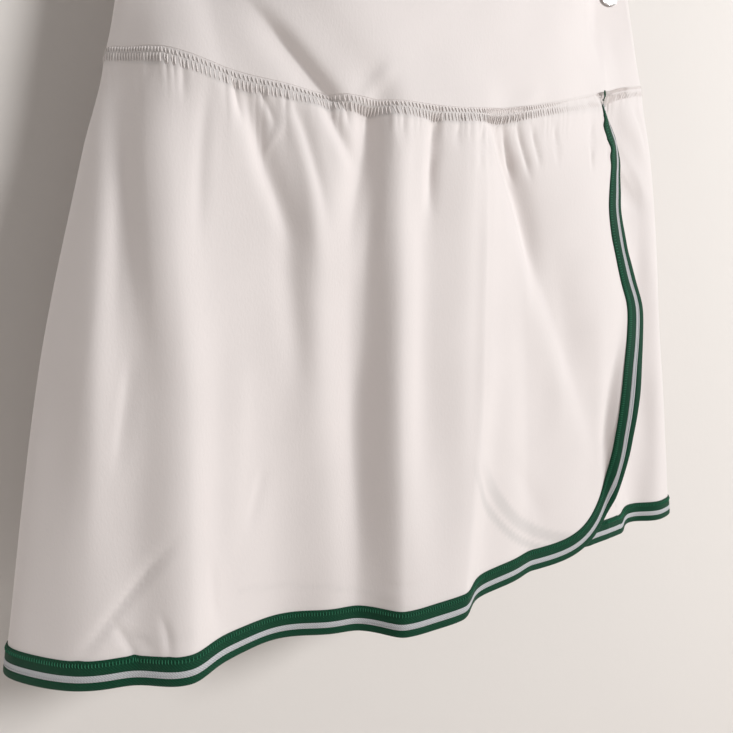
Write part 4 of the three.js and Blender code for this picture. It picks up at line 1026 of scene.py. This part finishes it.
class SKORT_OT_yoke(bpy.types.Operator):
    """Build the front and back of the waist yoke"""

    bl_idname = "skort.yoke"
    bl_label = "Yoke"

    def execute(self, context):
        settings = context.scene.skort
        material = cloth_material("Yoke Knit", settings.cloth_colour)
        quick = quick_factor()
        sizes = {
            "front": (LEFT_SEAM, RIGHT_SEAM, 300 // quick, 84 // quick, YOKE_FRONT_FLAT),
            "back": (RIGHT_SEAM, LEFT_SEAM - 360, 180 // quick, 48 // quick, YOKE_BACK_FLAT),
        }
        for word, (start, end, columns, rows, flat) in sizes.items():
            angle = np.linspace(start, end, columns + 1)[None, :]
            level = (np.linspace(0, 1, rows + 1) ** 0.85)[:, None] * YOKE_END
            angle, level = np.broadcast_arrays(angle, level)
            places = grid_places(angle, level)
            quads = quad_rows(np.arange(angle.size).reshape(angle.shape))
            piece, outer = cloth_sheet(
                f"yoke_{word}_cloth", places, quads, YOKE_WALL, [f"yoke_{word}"], material,
                "cloth", settings.crease_strength)
            # painted shade between the seam's threads, on the outer face only
            mask = painted_seam_shade(places.reshape(-1, 3), outer)
            add_mask(piece, "painted_shade", np.concatenate([mask, 0 * mask]))
        return {"FINISHED"}


SHOWS_LEFT = 9  # how far to the left of the under tape its shadow falls
SHOWS_TAPE, SHOWS_HEM = 0.24, 0.05  # how dark the painted shade is where the tape's edges and the shorts' hems show through
SHOWS_TAPE_EDGES = ((0, 1.9), (1, 2.9))  # column of the strip and half width of its line
SHOWS_BELOW, SHOWS_RIGHT_END = (-395, -430), (88, 110)
SHORTS_HEM_LINES = [
    ((-144, -462), (-114, -461)), ((-92, -452), (-46, -459)), ((-46, -459), (-5, -470)),
]


def painted_show_through_shade(points, panel):
    """Painted shade: how much the under panel's tape, as its shadow, and the shorts' hems darken the
    over panel's colour where they show through it.
    """
    x, z = points[:, 0], points[:, 2]
    strip = panel.strip(np.array([0.15, 0.78]), 200)
    x = x + SHOWS_LEFT
    mask = np.zeros(len(points))
    for k, half in SHOWS_TAPE_EDGES:
        line = body(strip[:, k, 0], strip[:, k, 1])
        distance = np.full(len(points), 1e9)
        for px, _, pz in line:
            distance = np.minimum(distance, np.hypot(x - px, z - pz))
        mask += SHOWS_TAPE * (1 - step(half * 0.6, half * 1.5, distance))
    mask *= step(*SHOWS_BELOW, z) * (1 - step(*SHOWS_RIGHT_END, x))
    for (x0, z0), (x1, z1) in SHORTS_HEM_LINES:
        dx, dz = x1 - x0, z1 - z0
        s = np.clip(((x - x0) * dx + (z - z0) * dz) / (dx**2 + dz**2), 0, 1)
        near = np.hypot(x - x0 - s * dx, z - z0 - s * dz)
        mask += SHOWS_HEM * (1 - step(0.5, 2.5, near))
    return mask


class SKORT_OT_skirt(bpy.types.Operator):
    """Build the over, under and back panels of the skirt"""

    bl_idname = "skort.skirt"
    bl_label = "Skirt panels"

    def execute(self, context):
        settings = context.scene.skort
        fine = settings.crease_strength
        quick = quick_factor()
        front = cloth_material("Skirt Knit", settings.cloth_colour)
        plain = cloth_material("Skirt Back Knit", settings.cloth_colour)
        over, under = over_panel(quick), under_panel(quick)
        piece, outer = cloth_sheet(
            "over_panel_cloth", over.places, over.quads, SKIRT_WALL, ["skirt_front_over"], front,
            "cloth", fine)
        # painted shade: the under tape's shadow and the shorts' hems seen through the cloth, and the
        # shade between the seam's threads
        mask = painted_show_through_shade(outer, under) + painted_seam_shade(over.places.reshape(-1, 3), outer)
        add_mask(piece, "painted_shade", np.concatenate([mask, 0 * mask]))
        piece, outer = cloth_sheet(
            "under_panel_cloth", under.places, under.quads, SKIRT_WALL, ["skirt_front_under"],
            plain, "cloth", fine)
        places, quads = back_panel(280 // quick, 78 // quick)
        piece, outer = cloth_sheet(
            "back_panel_cloth", places, quads, SKIRT_WALL, ["skirt_back"], plain, "cloth", fine)
        return {"FINISHED"}


def tape_top(angle):
    return HEM - TAPE_WIDTH / (height_at(angle, SEAM) - height_at(angle, HEM))


def back_hem_angle(u):
    seam_angle = RIGHT_SEAM + (LEFT_SEAM - 360 - RIGHT_SEAM) * u
    seam_x = np.cos(np.radians(seam_angle)) * half_width(SEAM)
    hem = -angle_at_hem(curve(BACK_COLUMNS, 1)(seam_x))
    hem = np.where(u <= 0, RIGHT_SEAM, np.where(u >= 1, LEFT_SEAM - 360, hem))
    return seam_angle, hem


def back_panel(columns, rows):
    u = np.linspace(0, 1, columns + 1)
    seam_angle, hem_angle = back_hem_angle(u)
    v = (np.linspace(0, 1, rows + 1) ** 1.15)[:, None]
    angle = seam_angle + (hem_angle - seam_angle) * v
    level = SKIRT_TOP + (tape_top(hem_angle) - SKIRT_TOP) * v
    k = np.array([0.25, 0.5, 0.75, 1.0])[:, None]
    level = np.vstack([level, level[-1] + (HEM - level[-1]) * k])
    angle = np.vstack([angle, np.repeat(angle[-1:], 4, 0)])
    return grid_places(angle, level), quad_rows(np.arange(angle.size).reshape(angle.shape))


# t across the tape from its outer edge (0) to its inner edge (1), height over the cloth
TAPE_PROFILE = np.array([
    (1.000, 0.50), (0.998, 0.95), (0.985, 1.18), (0.950, 1.30), (0.880, 1.26), (0.800, 1.28),
    (0.700, 1.36), (0.600, 1.34), (0.545, 1.26), (0.532, 1.12), (0.522, 1.30), (0.490, 1.42),
    (0.410, 1.46), (0.392, 1.44), (0.380, 1.18), (0.366, 1.18), (0.354, 1.43), (0.330, 1.42),
    (0.298, 1.30), (0.288, 1.12), (0.276, 1.26), (0.200, 1.36),
    (0.100, 1.34), (0.035, 1.25), (0.002, 1.00), (-0.018, 0.55), (-0.026, 0.00),
    (-0.020, -0.50), (0.000, -0.78), (0.030, -0.80),
])


TAPE_MIDDLE = 12  # row of the profile, in the stripe, that the length is measured along


def back_strip(t, count):
    u = np.linspace(0, 1, count)
    hem = back_hem_angle(u)[1]
    top = tape_top(hem)
    level = HEM + (top - HEM)[:, None] * t[None, :]
    return grid_places(np.repeat(hem[:, None], len(t), 1), level)


class SKORT_OT_tape(bpy.types.Operator):
    """Build the striped tape along the hems and the free edges"""

    bl_idname = "skort.tape"
    bl_label = "Striped tape"

    def execute(self, context):
        settings = context.scene.skort
        quick = quick_factor()
        green = rib_material("Tape Green", settings.tape_colour, 0.0007, 0.00012, 0.62)
        stripe = rib_material("Tape Stripe", settings.stripe_colour, 0.0006, 0.00018, 0.8)
        pale = [min(1, 2.6 * c + 0.02) for c in settings.tape_colour]
        under = rib_material("Tape Stitches", pale, 0.0007, 0.00005, 0.7)
        strips = {
            "over": (over_panel(4).strip, 520, "tape_front_over"),
            "under": (under_panel(4).strip, 360, "tape_front_under"),
            "back": (back_strip, 340, "tape_back"),
        }
        for word, (strip, count, node) in strips.items():
            self.build(word, strip, count // quick, node, [green, stripe, under], settings)
        return {"FINISHED"}

    def build(self, word, strip, count, node, materials, settings):
        fine = settings.crease_strength
        t, rise = TAPE_PROFILE[:, 0], TAPE_PROFILE[:, 1]
        places = strip(t, count)
        points = cloth(places, rise, fine)
        index = np.arange(count * len(t)).reshape(count, len(t))
        index = np.hstack([index, index[:, :1]])
        quads = quad_rows(index)
        is_stripe = (t[:-1] < TAPE_STRIPE[1] + 0.001) & (t[1:] > TAPE_STRIPE[0] - 0.001)
        slots = np.tile(np.append(is_stripe, False), count - 1).astype(int)
        faces = [*quads.tolist(), index[0, :-1][::-1].tolist(), index[-1, :-1].tolist()]
        length = run_length(points[:, TAPE_MIDDLE])
        unrolled = np.broadcast_arrays(length[:, None], (t * TAPE_WIDTH)[None, :])
        uv = np.stack(unrolled, -1).reshape(-1, 2)
        piece = make(f"tape_{word}_trim", points.reshape(-1, 3), faces, materials[:2], "tape", [node],
                     np.append(slots, [0, 0]), uv)
        finish_closed(piece)
        total = int(length[-1] / (settings.tape_pitch / MM)) // quick_factor()
        ticks = strip(np.array(TAPE_STITCHES), total)
        flat = ticks.reshape(-1, 3)
        out = normals(flat[:, 0], flat[:, 1], fine).reshape(total, 2, 3)
        ends = cloth(ticks, 1.24, fine)
        thread = settings.thread / MM / 2
        points, faces = threads(ends[:, 0], ends[:, 1], out[:, 0] * 0.3, thread * 0.8, 5, 4)
        stitches = make(f"tape_{word}_stitches", points, faces, [materials[2]], "tape")
        finish_closed(stitches)
        across = one_side_area(cloth(strip(np.array([0.0, 1.0]), count), 1.3).reshape(-1, 3),
                               quad_rows(np.arange(count * 2).reshape(count, 2)))


# ---------------------------------------------------------------- inner shorts


def shorts_sections(side, shares, turns, centre):
    """Levels of a leg: centre front, round the outside, centre back, then the centre wall."""
    low, high = SHORTS_LEVELS[-1][0], SHORTS_LEVELS[0][0]
    share = np.asarray(shares, float)[:, None]
    flat_z = low + (high - low) * share
    turned = 90 - np.linspace(0, 180, turns + 1)
    front = turned >= 0
    across = side * np.cos(np.radians(turned))
    x = across * curve(SHORTS_LEVELS, 1)(flat_z)
    x[:, 0] = x[:, -1] = side * SHORTS_CENTRE_GAP / 2
    flat_across = np.clip(x / half_width(SEAM), -1, 1)
    top = np.where(front, FRONT_HEIGHT[1](flat_across), BACK_HEIGHT[1](flat_across)) + SHORTS_RISE
    z = low + (top - low) * share
    fullness = np.where(front, curve(SHORTS_LEVELS, 2)(flat_z), curve(SHORTS_LEVELS, 3)(flat_z))
    depth = np.where(front, FRONT_DEPTH[1](across), BACK_DEPTH[1](across)) * fullness
    outside = [place_on(word, x, z) for word in (True, False)]
    reach = [np.abs(body(p[..., 0], p[..., 1])[..., 1]) for p in outside]
    tuck = SHORTS_SET_IN["wrap"] * step(*SHORTS_WRAP, x)
    room = np.where(front, reach[0] - SHORTS_SET_IN["front"] - tuck, reach[1] - SHORTS_SET_IN["back"])
    depth = np.minimum(depth, room)
    wave = np.sin(x * 0.16 + z * 0.02 + side) * np.sin(z * 0.035 + x * 0.03)
    depth = depth - (0.5 + 0.5 * wave) * np.minimum(1, np.abs(depth) / 10)
    depth = depth * np.sqrt(np.maximum(0, 1 - np.abs(across) ** SIDE_TURN_POWER))
    points = np.stack([x, np.where(front, -depth, depth), z], -1)
    k = (np.arange(1, centre) / centre)[None, :, None]
    wall = points[:, -1:] + (points[:, :1] - points[:, -1:]) * k
    wall[..., 2] -= CROTCH_DIP * np.sin(np.pi * k[..., 0]) * share / CROTCH_SHARE
    return np.concatenate([points, wall], 1)


def offset_section(points, distance, side, closed, turns):
    around = len(points) if closed else turns + 1
    ring = points[:around, :2]
    behind, ahead = np.roll(ring, 1, 0), np.roll(ring, -1, 0)
    if not closed:
        behind[0], ahead[-1] = ring[0], ring[-1]
    first, second = unit(ring - behind), unit(ahead - ring)
    run = unit(first + second)
    other = np.where(np.linalg.norm(first, axis=1, keepdims=True) > 0.5, first, second)
    square = np.maximum(0.5, (run * other).sum(1))
    size = side * distance / square
    moved = points.copy()
    moved[:around, 0] += run[:, 1] * size
    moved[:around, 1] -= run[:, 0] * size
    return moved


class SKORT_OT_shorts(bpy.types.Operator):
    """Build the two legs of the inner shorts with their turned hems"""

    bl_idname = "skort.shorts"
    bl_label = "Inner shorts"

    def execute(self, context):
        settings = context.scene.skort
        material = cloth_material("Shorts Knit", settings.shorts_colour)
        turns, centre = 72, 10
        crotch = 33
        above, low = np.linspace(1, CROTCH_SHARE, crotch + 1), np.linspace(CROTCH_SHARE, 0, 22)
        shares = np.concatenate([above, low[1:]])
        for side, word in ((-1, "right"), (1, "left")):
            layers = []
            sections = shorts_sections(side, shares, turns, centre)
            turned_up = 0.35 * (1 - step(0.072, 0.080, shares))
            for sign in (1, -1):
                move = sign * SHORTS_WALL / 2 + turned_up * (sign > 0)
                layers.append(np.array([
                    offset_section(section, move[r], side, r >= crotch, turns)
                    for r, section in enumerate(sections)
                ]))
            columns = layers[0].shape[1]
            index = np.arange(len(shares) * columns).reshape(len(shares), columns)
            top = quad_rows(index[: crotch + 1, : turns + 1])
            low = quad_rows(np.hstack([index[crotch:], index[crotch:, :1]]))
            quads = np.vstack([top, low])
            outer, inner = (layer.reshape(-1, 3) for layer in layers)
            if side < 0:
                quads = quads[:, ::-1]
            points, faces = shell(outer, inner, quads)
            used = np.unique(np.concatenate([np.asarray(f) for f in faces]))
            renumber = np.full(len(points), -1)
            renumber[used] = np.arange(len(used))
            faces = [renumber[np.asarray(f)] for f in faces]
            piece = make(f"shorts_{word}_cloth", points[used], faces, [material], "shorts_cloth",
                         [f"shorts_{word}_leg"])
            finish_closed(piece)
            stitches = self.hem_stitches(word, side, turns, centre, settings)
        return {"FINISHED"}

    def hem_stitches(self, word, side, turns, centre, settings):
        """Two rows of stitches that hold the leg's turned hem."""
        parts = []
        for share in (0.062, 0.076):
            section = shorts_sections(side, [share], turns, centre)[0]
            section = offset_section(section, SHORTS_WALL / 2 + 0.4, side, True, turns)
            loop = np.vstack([section, section[:1]])
            lengths = run_length(loop)
            count = int(lengths[-1] / 2.6)
            at = np.linspace(0, lengths[-1], count + 1)
            dots = np.stack([np.interp(at, lengths, loop[:, k]) for k in range(3)], -1)
            starts, ends = dots[:-1], dots[:-1] + (dots[1:] - dots[:-1]) * 0.82
            out = unit(np.cross(ends - starts, [0, 0, side * 1.0]))
            parts.append(threads(starts, ends, out * 0.25, settings.thread / MM / 2, 5, 4))
        points, faces = join(parts)
        material = cloth_material("Seam Thread", [0.72, 0.66, 0.63])
        piece = make(f"shorts_{word}_stitches", points, faces, [material], "shorts_cloth")
        return finish_closed(piece)


# ---------------------------------------------------------------- stitching


class SKORT_OT_stitching(bpy.types.Operator):
    """Build the cover stitching of the yoke seam and the thread end over the wrap"""

    bl_idname = "skort.stitching"
    bl_label = "Yoke stitching"

    def execute(self, context):
        settings = context.scene.skort
        thread = settings.thread / MM / 2
        pitch = settings.seam_pitch / MM
        material = cloth_material("Cover Thread", [0.86, 0.80, 0.78], bump=0.00003)
        fine = settings.crease_strength
        sides = (("front", LEFT_SEAM, RIGHT_SEAM), ("back", RIGHT_SEAM, LEFT_SEAM - 360))
        for word, start, end in sides:
            angles = np.linspace(start, end, 600)
            line = body(angles, SEAM, fine)
            lengths = run_length(line)
            count = int(lengths[-1] / pitch)
            at = (np.arange(count) + 0.5) * pitch
            turn = np.interp(at, lengths, angles)
            slant = np.interp(at + SEAM_STITCH_RUN, lengths, angles)
            parts = []
            drop = 1.0 / (height_at(turn, WAIST) - height_at(turn, SEAM))
            for height in SEAM_ROWS:
                top, low = height - SEAM_STITCH_RISE / 2, height + SEAM_STITCH_RISE / 2
                high, deep = SEAM + top * drop, SEAM + low * drop
                parts.append(self.row(turn, high, slant, deep, thread, fine))
            points, faces = join(parts)
            piece = make(f"seam_{word}_stitches", points, faces, [material], "cloth")
            finish_closed(piece)
        self.thread_end(settings)
        return {"FINISHED"}

    def row(self, angle0, level0, angle1, level1, thread, fine):
        level0, level1 = np.broadcast_to(level0, angle0.shape), np.broadcast_to(level1, angle0.shape)
        out = normals(angle0, level0, fine)
        starts, ends = body(angle0, level0, fine), body(angle1, level1, fine)
        seat = (SEAM_STITCH_SEAT - SEAM_STITCH_SINK * step(*SEAM_SUNK, starts[:, 0]))[:, None]
        starts, ends = starts + out * seat, ends + normals(angle1, level1, fine) * seat
        return threads(starts, ends, out * SEAM_STITCH_LIFT, thread, 5, 4)

    def thread_end(self, settings):
        """A small loop of tape thread at the top of the wrap."""
        top = free_edge(OVER_EDGE, OVER_CORNER, 1)[0]
        turn = np.linspace(-0.6, 1.25, 24) * np.pi
        angle = top[0] + 0.5 + 0.35 * np.cos(turn)
        level = top[1] - 0.020 - 0.020 * np.sin(turn)
        out = normals(angle, level)
        path = body(angle, level) + out * (1.1 + 0.4 * np.sin(np.linspace(0, np.pi, 24)))[:, None]
        material = cloth_material("Loose Thread", [c * 1.2 for c in settings.tape_colour])
        run = path[1:] - path[:-1]
        points, faces = threads(path[:-1], path[1:] + run * 0.3, out[:-1] * 0.02, 0.32, 6, 4)
        finish_closed(make("loose_thread", points, faces, [material], "tape"))


# ---------------------------------------------------------------- hanger

HOOK_WIRE, HOOK_INSIDE = 4, 21
HOOK_NECK = [(7, -40.8), (1, -53.0), (0, -64.0), (0, -88.5)]
BAR_Z, BAR_DIAMETER, BAR_LONG = -96, 7, 318
CAP_DIAMETER, CAP_LONG, CAP_GAP = 11, 7, 0.3
CLIP_X, CLIP_TOP, CLIP_BOTTOM, PIVOT_Z = 124, -86, -150, -111
CLIP_TIP, CLIP_ROOT, CLIP_PLATE, CLIP_PIN = 12, 20, 1.2, 3
# height over its foot and radius of the dome under the hook
COLLAR = [
    (0, 0.3), (0, 6.6), (0.4, 7.0), (1.3, 7.0), (1.7, 6.6), (3.0, 3.8), (3.4, 3.2), (3.4, 0.3),
]
LINK_HALF, COIL_RADIUS, COIL_WIRE, COIL_PITCH = 1.5, 2.3, 0.42, 0.85
# z, distance of a jaw's inner face from the middle
JAW_SIDE = [(-150, 2.15), (-117, 2.15), (-113, 3.6), (-109, 3.6), (-97, 8.0), (-86, 13.1)]


def smooth_path(points, count):
    """A soft curve through a few points (centripetal Catmull-Rom)."""
    points = np.asarray(points, float)
    ends = np.vstack([2 * points[0] - points[1], points, 2 * points[-1] - points[-2]])
    path = []
    for a, b, c, d in zip(ends[:-3], ends[1:-2], ends[2:-1], ends[3:]):
        t1 = np.linalg.norm(b - a) ** 0.5
        t2 = t1 + np.linalg.norm(c - b) ** 0.5
        t3 = t2 + np.linalg.norm(d - c) ** 0.5
        for t in np.linspace(t1, t2, count, endpoint=False):
            p = a + (b - a) * t / t1
            q = b + (c - b) * (t - t1) / (t2 - t1)
            r = c + (d - c) * (t - t2) / (t3 - t2)
            m = p + (q - p) * t / t2
            n = q + (r - q) * (t - t1) / (t3 - t1)
            path.append(m + (n - m) * (t - t1) / (t2 - t1))
    return np.array([*path, points[-1]])


def rounded_disc(half, radius, edge):
    """Profile of a short round bar with softened ends."""
    return [
        (-half, 0.2), (-half, radius - edge), (-half + edge * 0.3, radius - edge * 0.3),
        (-half + edge, radius), (half - edge, radius), (half - edge * 0.3, radius - edge * 0.3),
        (half, radius - edge), (half, 0.2),
    ]


class SKORT_OT_hanger(bpy.types.Operator):
    """Build the hook, the bar and its caps, and both clips"""

    bl_idname = "skort.hanger"
    bl_label = "Clip hanger"

    def execute(self, context):
        settings = context.scene.skort
        bright = metal_material("Bright Plate", settings.metal_colour, 0.16, 0.32)
        wire = metal_material("Spring Steel", [c * 0.8 for c in settings.metal_colour], 0.2, 0.4)
        radius = HOOK_INSIDE + HOOK_WIRE / 2
        turn = np.radians(np.arange(-35, 215.1, 12.5))
        bend = np.stack([-radius * np.cos(turn), 0 * turn, -HOOK_INSIDE + radius * np.sin(turn)], -1)
        neck = np.array([(x, 0, z) for x, z in HOOK_NECK])
        self.add("hanger_hook_wire", sweep(smooth_path(np.vstack([bend, neck]), 8), HOOK_WIRE / 2),
                 bright, "hanger_hook")
        low = BAR_Z + BAR_DIAMETER / 2 + 0.3
        self.add("hanger_collar", lathe(COLLAR, 2, (0, 0, low)), bright, "hanger_socket")
        bar = rounded_disc(BAR_LONG / 2, BAR_DIAMETER / 2, 0.4)
        self.add("hanger_rod", lathe(bar, 0, (0, 0, BAR_Z)), bright, "hanger_bar")
        for side, word in ((-1, "a"), (1, "b")):
            self.clip(side, word, bright, wire, settings.spring_turns)
        return {"FINISHED"}

    def add(self, name, form, material, *nodes):
        return finish_closed(make(name, *form, [material], "hanger_metal", nodes))

    def clip(self, side, word, bright, wire, turns):
        x = side * CLIP_X
        cap = rounded_disc(CAP_LONG / 2, CAP_DIAMETER / 2, 1.2)
        centre = side * (BAR_LONG / 2 + CAP_GAP + CAP_LONG / 2)
        self.add(f"hanger_end_{word}", lathe(cap, 0, (centre, 0, BAR_Z)), bright,
                 f"hanger_cap_{word}")
        pin = rounded_disc(CLIP_TIP / 2 + 1, CLIP_PIN / 2, 0.4)
        self.add(f"clip_rivet_{word}", lathe(pin, 0, (x, 0, PIVOT_Z)), wire, f"clip_pin_{word}")
        self.add(f"clip_hanger_{word}", self.link(x), bright, f"clip_link_{word}")
        for hand, number in ((1, 1), (-1, 2)):
            turn = np.linspace(0, 2 * np.pi * turns, 26 * turns)
            start = LINK_HALF + 0.3 + 0.5
            run = x + hand * (start + turn / (2 * np.pi) * COIL_PITCH)
            y, z = COIL_RADIUS * np.cos(turn), PIVOT_Z + COIL_RADIUS * np.sin(turn)
            coil = self.wire_form(np.stack([run, y, z], -1), COIL_WIRE)
            self.add(f"clip_coil_{word}{number}", coil, wire, f"clip_spring_{word}{number}")
        for face, where in ((-1, "front"), (1, "back")):
            self.add(f"clip_leaf_{where}_{word}", self.jaw(x, face), bright,
                     f"clip_jaw_{where}_{word}")

    def wire_form(self, path, radius, sides=8):
        run = unit(np.gradient(path, axis=0))
        axis = np.array([1.0, 0, 0])
        side = unit(np.cross(run, axis))
        up = np.cross(side, run)
        turn = np.linspace(0, 2 * np.pi, sides, endpoint=False)
        ring = np.cos(turn)[None, :, None] * side[:, None] + np.sin(turn)[None, :, None] * up[:, None]
        points = (path[:, None] + radius * ring).reshape(-1, 3)
        index = np.arange(len(points)).reshape(len(path), sides)
        closed = np.hstack([index, index[:, :1]])
        return points, [*quad_rows(closed).tolist(), index[0].tolist(), index[-1, ::-1].tolist()]

    def link(self, x):
        """A flat link with an eye for the bar and an eye for the pin."""
        outer = self.stadium(BAR_DIAMETER / 2 + 1.7, CLIP_PIN / 2 + 1.7)
        parts = []
        for z, eye, rim in ((BAR_Z, BAR_DIAMETER / 2 + 0.3, 1.4), (PIVOT_Z, CLIP_PIN / 2 + 0.3, 1.4)):
            half, edge, outside = LINK_HALF, LINK_HALF - 0.2, eye + rim
            profile = [(-half, eye), (-half, outside - 0.2), (-edge, outside), (edge, outside),
                       (half, outside - 0.2), (half, eye), (-half, eye)]
            points, faces = lathe(profile, 0, (x, 0, z), 32)
            parts.append((points, faces[:-2]))
        neck = np.array([(y, z) for y, z in outer])
        points = np.vstack([np.column_stack([np.full(4, x + s), neck]) for s in (-1.4, 1.4)])
        sides = [[k, k + 4, (k + 1) % 4 + 4, (k + 1) % 4] for k in range(4)]
        parts.append((points, [[0, 1, 2, 3], [7, 6, 5, 4], *sides]))
        return join(parts)

    def stadium(self, top, low):
        return [(-top * 0.75, BAR_Z - top * 0.7), (-low * 0.8, PIVOT_Z + low * 0.6),
                (low * 0.8, PIVOT_Z + low * 0.6), (top * 0.75, BAR_Z - top * 0.7)]

    def jaw(self, x, face):
        """A pressed leaf with rounded ends that widens towards its wings."""
        share = np.linspace(0, 1, 61)
        ease = 0.5 - 0.5 * np.cos(np.pi * share)
        z = CLIP_BOTTOM + (CLIP_TOP - CLIP_BOTTOM) * (0.6 * share + 0.4 * ease)
        y = curve(JAW_SIDE, 1)(z)
        widths = [CLIP_TIP / 2, CLIP_TIP / 2 + 0.5, CLIP_ROOT / 2]
        wide = np.interp(z, [CLIP_BOTTOM, PIVOT_Z - 4, CLIP_TOP], widths)
        corner = 4.5
        for end in (CLIP_BOTTOM, CLIP_TOP):
            near = np.clip(corner - np.abs(z - end), 0, corner)
            wide = wide - (corner - np.sqrt(corner**2 - near**2))
        run = unit(np.stack([np.gradient(y), np.gradient(z)], -1))
        out = np.stack([run[:, 1], -run[:, 0]], -1)
        s = np.linspace(-1, 1, 13)
        crown = 0.5 * (1 - s**2)
        layers = []
        for thick in (CLIP_PLATE, 0):
            raised = crown[None, :] * step(-120, -140, z)[:, None] * 0.6
            dy = y[:, None] + out[:, :1] * (thick + raised)
            dz = z[:, None] + out[:, 1:] * thick + 0 * s[None, :]
            dx = x + wide[:, None] * s[None, :]
            layers.append(np.stack([dx, face * dy, dz], -1).reshape(-1, 3))
        return shell(layers[0], layers[1], quad_rows(np.arange(61 * 13).reshape(61, 13)))


# ---------------------------------------------------------------- stage

# metres and degrees
WALL_COLOUR = (0.76, 0.725, 0.695)
FLOOR_Z, BACKDROP_TOP, BACKDROP_Y, STAGE_HALF = -0.9, 1.6, 0.052, 3
EYE = Vector((-0.136, -0.268, -0.327))
YAW, PITCH = 21.9, -6.0
FOCAL_SHARE = 550 / 733


class SKORT_OT_stage(bpy.types.Operator):
    """Build the backdrop, the floor, the lights and the camera"""

    bl_idname = "skort.stage"
    bl_label = "Stage"

    def execute(self, context):
        paint = stage_material("Backdrop Paint", WALL_COLOUR, True)
        ground = stage_material("Floor Paint", WALL_COLOUR, False)
        low, high, wide, y = FLOOR_Z, BACKDROP_TOP, STAGE_HALF, BACKDROP_Y
        upright = [(-wide, y, low), (wide, y, low), (wide, y, high), (-wide, y, high)]
        level = [(-wide, -wide, low), (wide, -wide, low), (wide, wide, low), (-wide, wide, low)]
        self.plane("backdrop", upright, paint)
        self.plane("floor", level, ground)
        world = bpy.data.worlds.new("Soft Room")
        world.use_nodes = True
        world.node_tree.nodes["Background"].inputs["Color"].default_value = (1.0, 0.965, 0.94, 1)
        world.node_tree.nodes["Background"].inputs["Strength"].default_value = 0.18
        context.scene.world = world
        context.scene.view_settings.view_transform = "Standard"
        self.lamp("window", (1.05, -1.34, 0.30), 0.45, 28.5, (1.0, 1.0, 1.0))
        self.lamp("bounce", (-1.6, -0.42, -0.25), 0.9, 4.0, (1.0, 0.98, 0.96))
        self.camera(context.scene)
        return {"FINISHED"}

    def plane(self, name, corners, material):
        mesh = bpy.data.meshes.new(name)
        mesh.from_pydata(corners, [], [(0, 1, 2, 3)])
        mesh.materials.append(material)
        piece = bpy.data.objects.new(name, mesh)
        bpy.context.scene.collection.objects.link(piece)

    def lamp(self, name, at, size, energy, colour):
        light = bpy.data.lights.new(name, "AREA")
        light.shape = "DISK"
        light.size = size
        light.energy = energy
        light.color = colour
        lamp = bpy.data.objects.new(name, light)
        lamp.location = at
        aim = Vector((0.0, 0.0, -0.32)) - Vector(at)
        lamp.rotation_euler = aim.to_track_quat("-Z", "Y").to_euler()
        bpy.context.scene.collection.objects.link(lamp)

    def camera(self, scene):
        data = bpy.data.cameras.new("camera")
        data.sensor_width = 36.0
        data.lens = data.sensor_width * FOCAL_SHARE
        data.clip_start = 0.01
        camera = bpy.data.objects.new("camera", data)
        camera.location = EYE
        camera.rotation_euler = (np.radians(90 + PITCH), 0, np.radians(-YAW))
        scene.collection.objects.link(camera)
        scene.camera = camera


class SKORT_PT_panel(bpy.types.Panel):
    """Lists the sizes, the colours and the pieces"""

    bl_label = "Skort"
    bl_idname = "SKORT_PT_panel"
    bl_space_type = "VIEW_3D"
    bl_region_type = "UI"
    bl_category = "Skort"

    def draw(self, context):
        layout = self.layout
        for key in SkortSettings.__annotations__:
            layout.prop(context.scene.skort, key)
        for operator in OPERATORS:
            layout.operator(operator.bl_idname)


OPERATORS = (
    SKORT_OT_yoke, SKORT_OT_skirt, SKORT_OT_tape, SKORT_OT_shorts, SKORT_OT_stitching,
    SKORT_OT_hanger, SKORT_OT_stage,
)
CLASSES = (SkortSettings, *OPERATORS, SKORT_PT_panel)


def register():
    for item in CLASSES:
        bpy.utils.register_class(item)
    bpy.types.Scene.skort = PointerProperty(type=SkortSettings)


def unregister():
    del bpy.types.Scene.skort
    for item in reversed(CLASSES):
        bpy.utils.unregister_class(item)


def main():
    register()
    for operator in (bpy.ops.skort.yoke, bpy.ops.skort.skirt, bpy.ops.skort.tape,
                     bpy.ops.skort.shorts, bpy.ops.skort.stitching, bpy.ops.skort.hanger,
                     bpy.ops.skort.stage):
        operator()


if __name__ == "__main__":
    main()
